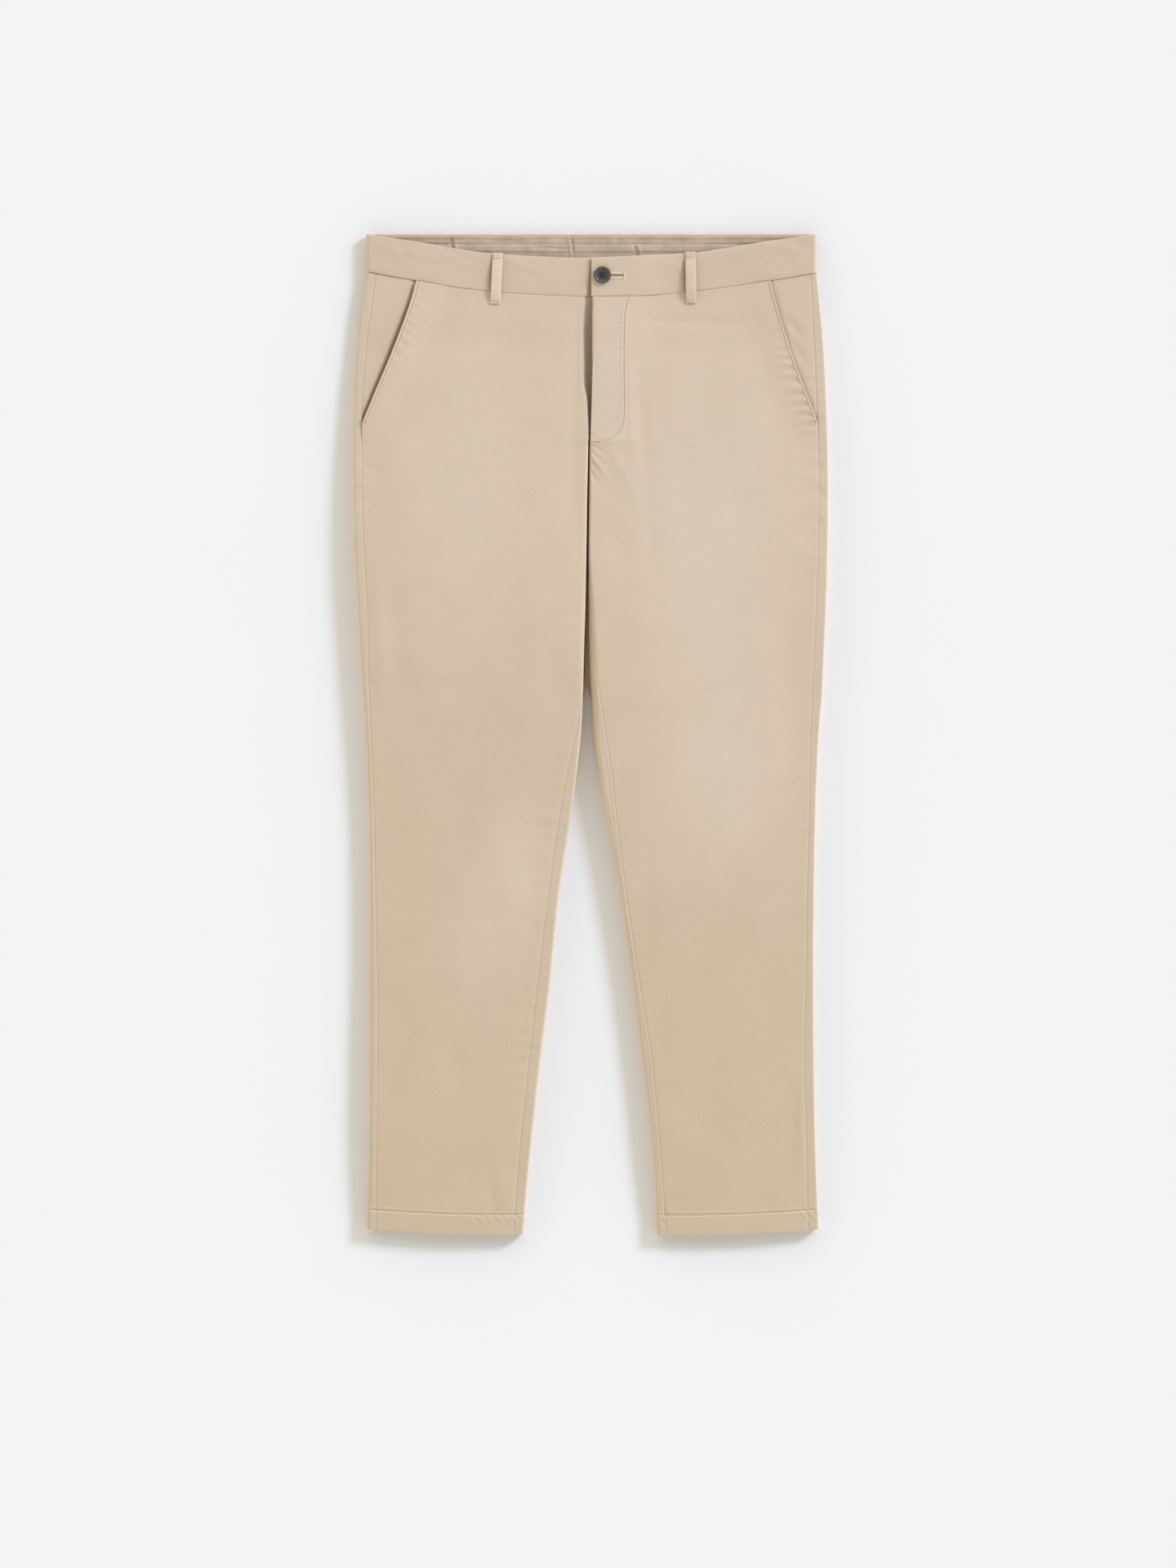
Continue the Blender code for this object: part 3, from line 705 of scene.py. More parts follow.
    def on_top(self, x: Array, y: Array, above: float = 0.1) -> PathPoints:
        """Points on the outer face of the top layer."""
        x, y = np.broadcast_arrays(np.asarray(x, float), np.asarray(y, float))
        return PathPoints(x, self.bent_y(x, y, 1.0), self.height(x, y) + CLOTH / 2 + above)

    def bent_y(self, x: Array, y: Array, topness: Array) -> Array:
        """Bends a level row to the hem's bow and, on top, to the dip of the waist.

        Args:
            x: where across.
            y: the level row.
            topness: how much a point belongs to the top layer, from 0 to 1.

        Returns:
            The bent row.
        """
        bow = self.hem_bow * np.sin(0.6 * math.pi * self.share(x, y))
        dip = topness * (BAND_SEAM_Y - waist_curve("seam", x))
        hem_share = step(-y, -HEM_Y - WARP_REACH, -HEM_Y)
        waist_share = step(y, BAND_SEAM_Y - WARP_REACH, BAND_SEAM_Y)
        return y - bow * hem_share - dip * waist_share

    def front_lift(self, x: Array, y: Array) -> Array:
        """How far the front stands above a plain layer: at the pocket, and at the fly."""
        at_fly = self.fly_lap(x, y) if self.side > 0 else -self.fly_sink(x, y)
        return self.pocket_lift(x, y) + at_fly

    def pocket_lift(self, x: Array, y: Array) -> Array:
        """The front stands on the pocket's facing, gapes, and tucks behind a beaded edge.

        Args:
            x, y: where, across and along the leg.

        Returns:
            The height to add.
        """
        inward = self.side * (self.pocket_edge(np.maximum(y, POCKET_END_Y)) - x)
        down = (BAND_SEAM_Y - y) / (BAND_SEAM_Y - POCKET_END_Y)
        gape = 1 + self.gape * np.sin(math.pi * np.clip(down, 0.0, 1.0))
        lift = POCKET_LIFT * gape * step(-inward, *POCKET_RAMP) * step(y, *POCKET_ZONE)
        tucks = POCKET_TUCKS.lift(y + self.pinch_slant * inward, inward - BEAD_WIDTH, self.turn + 4.0)
        tucks = tucks * mix(0.2, 1.0, step(down, 0.2, 0.65)) * step(inward, 1.0, BEAD_WIDTH)
        bead = ridges(inward, BEAD_RELIEF) * step(y, *BEAD_ZONE)
        return lift + tucks * step(y, *POCKET_TUCK_ZONE) + bead

    def fly_lap(self, x: Array, y: Array) -> Array:
        """The left side stands on the underlap, with a groove and tucks at its stitches.

        Args:
            x, y: where, across and along the leg.

        Returns:
            The height to add.
        """
        lap = step(-x, *FLY_RAMP)
        opening = mix(FLY_CLOSED, 1.0, step(y, *FLY_OPEN_ZONE)) * step(y, *FLY_LAP_ZONE)
        away = from_fly_stitch(x, y)
        facing = step(FLY_FACING_WIDTH - x, -2.0, 2.0) * step(y, FLY_END_Y, FLY_END_Y + 6.0)
        tucks = FLY_TUCKS.lift(y, away, 5.0) * mix(0.35, 1.0, facing) * step(y, *FLY_TUCK_ZONE)
        return FLY_LIFT * lap * opening + ridges(away, FLY_RELIEF) + tucks

    def fly_sink(self, x: Array, y: Array) -> Array:
        """The right side sinks under the lap, by the mean of a soft step and a cube.

        Args:
            x, y: where, across and along the leg.

        Returns:
            The depth to take away.
        """
        brow = pairs(y, FLY_BROW)
        left = 1 - np.clip((x - brow) / (pairs(y, FLY_EDGE) - brow), 0.0, 1.0)
        return pairs(y, FLY_DEPTH) * step(y, *FLY_SINK_ZONE) * (1 - (step(left, 0, 1) + left ** 3) / 2)


RIGHT = Leg("right", -1.0, RIGHT_STATIONS, RIGHT_SLANT, RIGHT_FOLDS, RIGHT_BAND_FOLDS,
            hem_bow=6.0, swell=6.4, gape=0.9, outer_reach=2.8, widest_at=0.5, pinch_slant=0.7,
            felled=0.0, hip_tucks=0.0, inseam_tucks=0.3, turn=0.4)
LEFT = Leg("left", 1.0, LEFT_STATIONS, LEFT_SLANT, LEFT_FOLDS, LEFT_BAND_FOLDS,
           hem_bow=6.5, swell=4.5, gape=0.1, outer_reach=0.9, widest_at=0.8, pinch_slant=0.15,
           felled=1.0, hip_tucks=0.26, inseam_tucks=0.16, turn=2.3)
LEGS = (RIGHT, LEFT)


def waist_curve(field_name: str, x: Array) -> Array:
    """The front waist's top edge or seam as a smooth curve from side to side."""
    knots = [row.x for row in FRONT_WAIST]
    return smooth(x, knots, [getattr(row, field_name) for row in FRONT_WAIST])


def fly_stitch_path() -> tuple[Array, Array]:
    """The fly's J of stitches as points about 2 mm apart: a smooth curve through its table.

    Returns:
        x and y of the points.
    """
    knots = np.arange(len(FLY_STITCH))
    at = np.linspace(0.0, len(FLY_STITCH) - 1.0, 100)
    y = smooth(at, knots, [row[0] for row in FLY_STITCH])
    x = smooth(at, knots, [row[1] for row in FLY_STITCH])
    return x, y


def from_fly_stitch(x: Array, y: Array) -> Array:
    """Distance to the fly's J of stitches: the least over the straight runs of its path.

    Args:
        x, y: where to measure from.

    Returns:
        The distance at each place.
    """
    path_x, path_y = fly_stitch_path()
    nearest = np.full(np.broadcast(x, y).shape, 1e3)
    for k in range(0, len(path_x) - 3, 3):
        run_x, run_y = path_x[k + 3] - path_x[k], path_y[k + 3] - path_y[k]
        u = ((x - path_x[k]) * run_x + (y - path_y[k]) * run_y) / (run_x ** 2 + run_y ** 2)
        u = np.clip(u, 0.0, 1.0)
        nearest = np.minimum(nearest, np.hypot(x - path_x[k] - u * run_x, y - path_y[k] - u * run_y))
    return nearest


def link_mesh(name: str, points: Array, loops: Array, sizes: Array,
              uv: Array | None = None) -> bpy.types.Object:
    """Makes a smooth mesh object at the origin from flat arrays.

    Args:
        name: the object's name.
        points: vertex places in metres, n by 3.
        loops: vertex numbers of all faces, one after another.
        sizes: number of corners of each face.
        uv: one (u, v) pair for each loop, or None.

    Returns:
        The linked object.
    """
    mesh = bpy.data.meshes.new(name)
    mesh.vertices.add(len(points))
    mesh.vertices.foreach_set("co", points.reshape(-1).astype(np.float32))
    mesh.loops.add(len(loops))
    mesh.loops.foreach_set("vertex_index", loops.astype(np.int32))
    mesh.polygons.add(len(sizes))
    starts = np.concatenate([[0], np.cumsum(sizes)[:-1]])
    mesh.polygons.foreach_set("loop_start", starts.astype(np.int32))
    mesh.update(calc_edges=True)
    if uv is not None:
        layer = mesh.uv_layers.new(name="cloth")
        layer.data.foreach_set("uv", uv.reshape(-1).astype(np.float32))
    mesh.polygons.foreach_set("use_smooth", np.ones(len(sizes), dtype=bool))
    mesh.validate()
    obj = bpy.data.objects.new(name, mesh)
    bpy.context.scene.collection.objects.link(obj)
    return obj


def sheet_mesh(name: str, grid: Grid, flip: bool) -> bpy.types.Object:
    """Puts a grid of points into a mesh, with a UV map in metres along the cloth.

    u is the length across each row from its middle column, v is y.

    Args:
        name: the object's name.
        grid: x, y and z arrays of one shape, rows by columns, in millimetres.
        flip: turns the faces over, so that they point away from the body.

    Returns:
        The linked object.
    """
    x, y, z = np.broadcast_arrays(*grid)
    rows, columns = x.shape
    points = np.stack([x, y, z], axis=-1) * MM
    corner = (np.arange(rows - 1)[:, None] * columns + np.arange(columns - 1)[None, :]).ravel()
    around = (0, columns, columns + 1, 1) if flip else (0, 1, columns + 1, columns)
    faces = np.stack([corner + offset for offset in around], axis=-1)
    across = np.zeros((rows, columns))
    across[:, 1:] = np.cumsum(np.linalg.norm(np.diff(points, axis=1), axis=-1), axis=1)
    middle = columns // 2
    across = across - across[:, middle:middle + 1] + points[:, middle:middle + 1, 0]
    uv = np.stack([across, points[..., 1]], axis=-1).reshape(-1, 2)[faces.reshape(-1)]
    return link_mesh(name, points.reshape(-1, 3), faces.reshape(-1), np.full(len(faces), 4), uv)


def paint_bloom(obj: bpy.types.Object, lighter: float = 0.0) -> None:
    """Stores the share of painted light at each point: a sum of soft round patches.

    Args:
        obj: the mesh object to paint.
        lighter: an even share of painted light added all over; below 0 it is painted shade.
    """
    mesh = obj.data
    places = np.empty(len(mesh.vertices) * 3, dtype=np.float32)
    mesh.vertices.foreach_get("co", places)
    x, y = places.reshape(-1, 3)[:, 0] / MM, places.reshape(-1, 3)[:, 1] / MM
    share = np.full(len(x), lighter)
    for bloom in PAINTED_LIGHT_PATCHES:
        away = ((x - bloom.x) / bloom.half_width) ** 2 + ((y - bloom.y) / bloom.half_length) ** 2
        share = share + bloom.amount * np.exp(-away)
    layer = mesh.attributes.new("bloom", "FLOAT", "POINT")
    layer.data.foreach_set("value", share.astype(np.float32))


def give_wall(obj: bpy.types.Object, wall: float, rounding: float,
              thinner: Array | None = None) -> None:
    """Turns a sheet into a wall about its middle, with its cut edges rounded.

    Args:
        obj: the sheet.
        wall: the full thickness in millimetres.
        rounding: width of the rounding of the edges in millimetres, or 0.
        thinner: the share of the full thickness at each point, or None for all of it.
    """
    solidify = obj.modifiers.new("Wall", "SOLIDIFY")
    solidify.thickness = wall * MM
    solidify.offset = 0.0
    solidify.use_rim = True
    if thinner is not None:
        group = obj.vertex_groups.new(name="wall")
        flat = np.round(thinner.reshape(-1), 2)
        for share in np.unique(flat):
            group.add(np.flatnonzero(flat == share).tolist(), float(share), "REPLACE")
        solidify.vertex_group = group.name
    if rounding > 0:
        bevel = obj.modifiers.new("Rounded edge", "BEVEL")
        bevel.width = rounding * MM
        bevel.segments = 2
        bevel.limit_method = "ANGLE"
        bevel.angle_limit = math.radians(60.0)


def tubes(name: str, centres: Array, radii: Array, sides: int = 6) -> bpy.types.Object:
    """Many closed tubes in one mesh.

    Each ring is a circle of its radius about its centre, square to the tube's mean
    direction; flat caps close both ends.

    Args:
        name: the object's name.
        centres: tubes by rings by 3, in millimetres.
        radii: one radius for each ring.
        sides: corners of each ring.

    Returns:
        The linked object.
    """
    count, rings = centres.shape[:2]
    along = centres[:, -1] - centres[:, 0]
    along = along / np.linalg.norm(along, axis=-1, keepdims=True)
    up = np.where(np.abs(along[:, 2:3]) > 0.9, [[1.0, 0.0, 0.0]], [[0.0, 0.0, 1.0]])
    beside = np.cross(along, up)
    beside = beside / np.linalg.norm(beside, axis=-1, keepdims=True)
    normal = np.cross(beside, along)
    angle = np.arange(sides) * 2 * math.pi / sides
    circle = (beside[:, None, :] * np.cos(angle)[:, None] + normal[:, None, :] * np.sin(angle)[:, None])
    points = centres[:, :, None, :] + circle[:, None, :, :] * radii[None, :, None, None]
    first = (np.arange(count) * rings * sides)[:, None, None]
    ring = (np.arange(rings - 1) * sides)[None, :, None]
    corner = np.arange(sides)[None, None, :]
    here = first + ring + corner
    there = first + ring + (corner + 1) % sides
    quads = np.stack([here, there, there + sides, here + sides], axis=-1).reshape(-1)
    low_cap = first[:, 0] + np.arange(sides)[::-1][None, :]
    high_cap = first[:, 0] + (rings - 1) * sides + np.arange(sides)[None, :]
    loops = np.concatenate([quads, low_cap.reshape(-1), high_cap.reshape(-1)])
    sizes = np.concatenate([np.full(len(quads) // 4, 4), np.full(2 * count, sides)])
    return link_mesh(name, points.reshape(-1, 3) * MM, loops, sizes)


def walk(path: PathPoints) -> tuple[Array, Array]:
    """The points of a path, n by 3, and the distance along it to each."""
    points = np.stack(np.broadcast_arrays(*path), axis=-1)
    lengths = np.linalg.norm(np.diff(points, axis=0), axis=-1)
    return points, np.concatenate([[0.0], np.cumsum(lengths)])


def read_path(points: Array, run: Array, at: Array) -> Array:
    """Places at given distances along a walked path."""
    return np.stack([np.interp(at, run, column) for column in points.T], axis=-1)


def sewn_line(path: PathPoints, pitch: float, length: float, radius: float) -> Array:
    """Cuts a path into stitches.

    Each stitch is an arch along the path: its ends sink by its radius and its middle
    stands up by a third of it.

    Args:
        path: points along the line, in millimetres.
        pitch: from one stitch to the next.
        length: of a stitch.
        radius: of the thread.

    Returns:
        Centres of the rings, stitches by 5 by 3.
    """
    points, run = walk(path)
    starts = np.arange(0.0, run[-1] - length, pitch)
    share = np.array([0.0, 0.15, 0.5, 0.85, 1.0])
    centres = read_path(points, run, starts[:, None] + length * share)
    centres[..., 2] += radius * np.array([-1.0, -0.1, 0.33, -0.1, -1.0])
    return centres


def satin_line(path: PathPoints, width: float, pitch: float, radius: float) -> Array:
    """Close stitches that lie square across a path and arch over it.

    Args:
        path: points along the middle of the row, in millimetres.
        width: length of each stitch, across the path.
        pitch: from one stitch to the next.
        radius: of the thread.

    Returns:
        Centres of the rings, stitches by 5 by 3.
    """
    points, run = walk(path)
    at = np.arange(0.0, run[-1], pitch)
    middle = read_path(points, run, at)
    ahead = np.gradient(middle[:, :2], axis=0)
    ahead = ahead / np.linalg.norm(ahead, axis=-1, keepdims=True)
    across = np.stack([-ahead[:, 1], ahead[:, 0], 0 * at], axis=-1)
    share = np.array([-0.5, -0.4, 0.0, 0.4, 0.5])
    centres = middle[:, None, :] + width * across[:, None, :] * share[:, None]
    centres[..., 2] += radius * np.array([-1.0, 0.2, 0.8, 0.2, -1.0])
    return centres


STITCH_TAPER = np.array([0.45, 0.9, 1.0, 0.9, 0.45])     # each ring's share of the radius


def sew(name: str, centres: Array, radius: float, material: bpy.types.Material) -> None:
    """Makes one mesh of a row's stitches and dresses it as thread."""
    dress(tubes(name, centres, radius * STITCH_TAPER), material, "twill")


MULTIPLY_ADD = {"operation": "MULTIPLY_ADD"}     # in0 times in1, plus in2


def srgb(code: str) -> tuple[float, float, float, float]:
    """Turns a six-figure sRGB hex code into a linear colour."""
    parts = [int(code[k:k + 2], 16) / 255 for k in (0, 2, 4)]
    linear = [c / 12.92 if c <= 0.04045 else ((c + 0.055) / 1.055) ** 2.4 for c in parts]
    return (*linear, 1.0)


def add_node(tree: bpy.types.NodeTree, kind: str, settings: dict | None = None,
             **inputs: object) -> bpy.types.Node:
    """Adds a node, sets it up and links it.

    Args:
        tree: the material's node tree.
        kind: the node's type name, without its ShaderNode.
        settings: attributes of the node.
        **inputs: by input name with _ for spaces, or in0, in1 by number, a value for
            the socket or the output socket that feeds it.

    Returns:
        The node.
    """
    node = tree.nodes.new("ShaderNode" + kind)
    for key, value in (settings or {}).items():
        setattr(node, key, value)
    for key, value in inputs.items():
        number = key[2:] if key.startswith("in") and key[2:].isdigit() else None
        socket = node.inputs[int(number)] if number else node.inputs[key.replace("_", " ")]
        if isinstance(value, bpy.types.NodeSocket):
            tree.links.new(value, socket)
        else:
            socket.default_value = value
    return node


class Finish:
    """A material, named for what the real one is; each finish makes its own shader."""

    name: str

    def shader(self, tree: bpy.types.NodeTree) -> bpy.types.Node:
        """Makes the nodes up to the shader.

        Args:
            tree: the material's empty node tree.

        Returns:
            The shader node.
        """
        raise NotImplementedError

    def material(self) -> bpy.types.Material:
        """Makes the material and feeds its output from the shader.

        Returns:
            The finished material.
        """
        material = bpy.data.materials.new(self.name)
        material.use_nodes = True
        material.node_tree.nodes.clear()
        shader = self.shader(material.node_tree)
        add_node(material.node_tree, "OutputMaterial", Surface=shader.outputs[0])
        return material


@dataclass(frozen=True)
class TwillFinish(Finish):
    """Garment-washed cotton twill: matt, with fine steep ribs and a faint peach-skin nap.

    The real ribs are about 0.5 mm apart; they are drawn twice as coarse so that they
    still show at arm's length.
    """

    name: str = "cotton twill"
    colour: str = "CDBAA1"
    # The colour where the painted light is full
    painted_lit_colour: str = "DBCBB7"
    rib_pitch: float = 1.0
    rib_steepness: float = 2.0
    thread_size: float = 1.4
    mottle_size: float = 42.0
    rib_contrast: float = 0.045
    thread_contrast: float = 0.075
    mottle_contrast: float = 0.035
    nap: float = 0.22

    def shader(self, tree: bpy.types.NodeTree) -> bpy.types.Node:
        """Colour from ribs, uneven threads, slow mottling and the stored painted light; bump from the first
        two.

        Args:
            tree: the material's empty node tree.

        Returns:
            The shader node.
        """
        uv = add_node(tree, "UVMap", {"uv_map": "cloth"})
        turned = add_node(tree, "VectorMath", {"operation": "DOT_PRODUCT"},
                          in0=uv.outputs[0], in1=(1.0, 1.0 / self.rib_steepness, 0.0))
        phase = add_node(tree, "Math", {"operation": "MULTIPLY"},
                         in0=turned.outputs["Value"], in1=2 * math.pi / (self.rib_pitch * MM))
        rib = add_node(tree, "Math", {"operation": "SINE"}, in0=phase.outputs[0])
        stretch = add_node(tree, "Mapping", {"vector_type": "POINT"},
                           Vector=uv.outputs[0], Scale=(1.0, 0.3, 1.0))
        thread = add_node(tree, "TexNoise", {"noise_dimensions": "2D"},
                          Vector=stretch.outputs[0], Scale=1 / (self.thread_size * MM),
                          Detail=2.0, Roughness=0.6)
        mottle = add_node(tree, "TexNoise", {"noise_dimensions": "2D"},
                          Vector=uv.outputs[0], Scale=1 / (self.mottle_size * MM),
                          Detail=3.0, Roughness=0.5)
        ribbed = add_node(tree, "Math", MULTIPLY_ADD,
                          in0=rib.outputs[0], in1=self.rib_contrast / 2,
                          in2=1.0 - self.thread_contrast - self.mottle_contrast)
        woven = add_node(tree, "Math", MULTIPLY_ADD,
                         in0=thread.outputs["Fac"], in1=2 * self.thread_contrast,
                         in2=ribbed.outputs[0])
        shade = add_node(tree, "Math", MULTIPLY_ADD,
                         in0=mottle.outputs["Fac"], in1=2 * self.mottle_contrast,
                         in2=woven.outputs[0])
        # Painted light: the colour moves towards the paler one by the stored share.
        bloom = add_node(tree, "Attribute", {"attribute_name": "bloom"})
        lit_base = add_node(tree, "Mix", {"data_type": "RGBA"}, in0=bloom.outputs["Fac"],
                       in6=srgb(self.colour), in7=srgb(self.painted_lit_colour))
        colour = add_node(tree, "VectorMath", {"operation": "SCALE"},
                          in0=lit_base.outputs[2], Scale=shade.outputs[0])
        relief = add_node(tree, "Math", MULTIPLY_ADD,
                          in0=rib.outputs[0], in1=0.35, in2=thread.outputs["Fac"])
        bump = add_node(tree, "Bump", Height=relief.outputs[0], Strength=0.35,
                        Distance=0.12 * MM)
        shader = add_node(tree, "BsdfPrincipled", Base_Color=colour.outputs[0],
                          Normal=bump.outputs[0], Roughness=0.88, Sheen_Weight=self.nap,
                          Sheen_Roughness=0.45, Sheen_Tint=srgb("F4EADC"), Metallic=0.0)
        shader.inputs["Specular IOR Level"].default_value = 0.25
        return shader


@dataclass(frozen=True)
class TapeFinish(Finish):
    """Woven waistband tape: a plain cotton and viscose weave with fine lengthwise cords."""

    name: str = "waistband tape"
    colour: str = "C2B09C"
    cord_pitch: float = 1.3
    thread_size: float = 1.0

    def shader(self, tree: bpy.types.NodeTree) -> bpy.types.Node:
        """Colour and bump from the cords and uneven threads.

        Args:
            tree: the material's empty node tree.

        Returns:
            The shader node.
        """
        uv = add_node(tree, "UVMap", {"uv_map": "cloth"})
        split = add_node(tree, "SeparateXYZ", in0=uv.outputs[0])
        phase = add_node(tree, "Math", {"operation": "MULTIPLY"},
                         in0=split.outputs[1], in1=2 * math.pi / (self.cord_pitch * MM))
        cord = add_node(tree, "Math", {"operation": "SINE"}, in0=phase.outputs[0])
        thread = add_node(tree, "TexNoise", {"noise_dimensions": "2D"},
                          Vector=uv.outputs[0], Scale=1 / (self.thread_size * MM), Detail=2.0)
        mottle = add_node(tree, "TexNoise", {"noise_dimensions": "2D"},
                          Vector=uv.outputs[0], Scale=1 / (14.0 * MM), Detail=2.0)
        mixed = add_node(tree, "Math", MULTIPLY_ADD,
                         in0=thread.outputs["Fac"], in1=0.14, in2=mottle.outputs["Fac"])
        shade = add_node(tree, "MapRange", {"interpolation_type": "LINEAR"},
                         Value=mixed.outputs[0], in1=0.3, in2=0.85, in3=0.86, in4=1.1)
        corded = add_node(tree, "Math", MULTIPLY_ADD,
                          in0=cord.outputs[0], in1=0.014, in2=shade.outputs[0])
        colour = add_node(tree, "VectorMath", {"operation": "SCALE"},
                          in0=srgb(self.colour)[:3], Scale=corded.outputs[0])
        bump = add_node(tree, "Bump", Height=cord.outputs[0], Strength=0.3,
                        Distance=0.05 * MM)
        shader = add_node(tree, "BsdfPrincipled", Base_Color=colour.outputs[0],
                          Normal=bump.outputs[0], Roughness=0.75, Sheen_Weight=0.15,
                          Sheen_Roughness=0.4, Metallic=0.0)
        return shader


@dataclass(frozen=True)
class ThreadFinish(Finish):
    """Spun polyester sewing thread, twisted, a little glossier than the cloth."""

    name: str
    colour: str
    twist_pitch: float = 0.6

    def shader(self, tree: bpy.types.NodeTree) -> bpy.types.Node:
        """Colour and bump from a slanting twist.

        Args:
            tree: the material's empty node tree.

        Returns:
            The shader node.
        """
        place = add_node(tree, "TexCoord")
        wave = add_node(tree, "TexWave", {"bands_direction": "DIAGONAL"},
                        Vector=place.outputs["Object"], Scale=0.2 * math.pi / (self.twist_pitch * MM),
                        Distortion=1.0, Detail=1.0)
        shade = add_node(tree, "MapRange", Value=wave.outputs["Fac"],
                         in1=0.0, in2=1.0, in3=0.86, in4=1.06)
        colour = add_node(tree, "VectorMath", {"operation": "SCALE"},
                          in0=srgb(self.colour)[:3], Scale=shade.outputs[0])
        bump = add_node(tree, "Bump", Height=wave.outputs["Fac"], Strength=0.3,
                        Distance=0.05 * MM)
        shader = add_node(tree, "BsdfPrincipled", Base_Color=colour.outputs[0],
                          Normal=bump.outputs[0], Roughness=0.55, Sheen_Weight=0.1, Metallic=0.0)
        return shader


@dataclass(frozen=True)
class ResinFinish(Finish):
    """Cast polyester resin, turned and tumbled: charcoal with faint horn-like clouds."""

    name: str = "cast resin"
    light: str = "565453"
    dark: str = "3B3A3A"
    cloud_size: float = 5.0

    def shader(self, tree: bpy.types.NodeTree) -> bpy.types.Node:
        """Colour from clouds, roughness from fine tumbling marks.

        Args:
            tree: the material's empty node tree.

        Returns:
            The shader node.
        """
        place = add_node(tree, "TexCoord")
        cloud = add_node(tree, "TexNoise", Vector=place.outputs["Object"],
                         Scale=1 / (self.cloud_size * MM), Detail=3.0)
        colour = add_node(tree, "Mix", {"data_type": "RGBA"}, in0=cloud.outputs["Fac"],
                          in6=srgb(self.dark), in7=srgb(self.light))
        marks = add_node(tree, "TexNoise", Vector=place.outputs["Object"],
                         Scale=1 / (0.8 * MM), Detail=2.0)
        rough = add_node(tree, "MapRange", Value=marks.outputs["Fac"],
                         in1=0.0, in2=1.0, in3=0.28, in4=0.5)
        shader = add_node(tree, "BsdfPrincipled", Base_Color=colour.outputs[2],
                          Roughness=rough.outputs[0], IOR=1.54, Metallic=0.0)
        return shader


@dataclass(frozen=True)
class FloorFinish(Finish):
    """Matt white painted board."""

    name: str = "painted board"
    colour: str = "F3F3F4"

    def shader(self, tree: bpy.types.NodeTree) -> bpy.types.Node:
        """Nearly even white with the faintest roller mottling.

        Args:
            tree: the material's empty node tree.

        Returns:
            The shader node.
        """
        place = add_node(tree, "TexCoord")
        noise = add_node(tree, "TexNoise", Vector=place.outputs["Object"],
                         Scale=6.0, Detail=2.0)
        shade = add_node(tree, "MapRange", Value=noise.outputs["Fac"],
                         in1=0.0, in2=1.0, in3=0.995, in4=1.005)
        colour = add_node(tree, "VectorMath", {"operation": "SCALE"},
                          in0=srgb(self.colour)[:3], Scale=shade.outputs[0])
        shader = add_node(tree, "BsdfPrincipled", Base_Color=colour.outputs[0],
                          Roughness=0.95, Metallic=0.0)
        shader.inputs["Specular IOR Level"].default_value = 0.0
        return shader


@dataclass(frozen=True)
class Finishes:
    """The materials shared by the pieces, each made once."""

    twill: bpy.types.Material
    tape: bpy.types.Material
    thread: bpy.types.Material
    twist: bpy.types.Material
    gimp: bpy.types.Material
    button_thread: bpy.types.Material
    resin: bpy.types.Material
    floor: bpy.types.Material

    @classmethod
    def make(cls) -> "Finishes":
        """Makes all the materials.

        Returns:
            The set of materials.
        """
        return cls(
            twill=TwillFinish().material(),
            tape=TapeFinish().material(),
            thread=ThreadFinish("spun polyester thread", "DCC9B0").material(),
            twist=ThreadFinish("buttonhole twist", "E9DCC4").material(),
            # A dark cord that paints the shade inside the buttonhole's slit
            gimp=ThreadFinish("shaded gimp cord", "7F6F5A").material(),
            button_thread=ThreadFinish("button thread", "1D1C1E").material(),
            resin=ResinFinish().material(),
            floor=FloorFinish().material(),
        )


def dress(piece: bpy.types.Object, material: bpy.types.Material, slot: str,
          replaces: Sequence[str] = ()) -> bpy.types.Object:
    """Gives a piece its finish and its body, and reports it.

    Args:
        piece: the finished mesh object.
        material: its finish.
        slot: not used.
        replaces: CAD nodes that it stands for.

    Returns:
        The same piece.
    """
    piece.data.materials.clear()
    piece.data.materials.append(material)
    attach(piece, "root")
    if replaces:
        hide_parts(*replaces)
    LOG.info("%s: %d faces, %s", piece.name, len(piece.data.polygons), material.name)
    return piece


def make_cloth(name: str, grid: Grid, flip: bool, wall: float, finish: tuple[bpy.types.Material, str],
               node: str, rounding: float = 0.2, painted_light_offset: float | None = 0.0,
               thinner: Array | None = None) -> None:
    """Args:
        name: the piece's name.
        grid: the points of its wall's middle, in millimetres.
        flip: turns its faces over.
        wall: its full thickness.
        finish: its material, and a slot name that is not used.
        node: the CAD node that it stands for.
        rounding: of its cut edges.
        painted_light_offset: an even share of painted light added all over, painted shade below 0, or None
            for cloth without painted light.
        thinner: the share of the full thickness at each point, or None.
    """
    piece = sheet_mesh(name, grid, flip)
    # Painted light in soft patches, with an even offset on top.
    if painted_light_offset is not None:
        paint_bloom(piece, painted_light_offset)
    give_wall(piece, wall, rounding, thinner)
    dress(piece, *finish, [node])


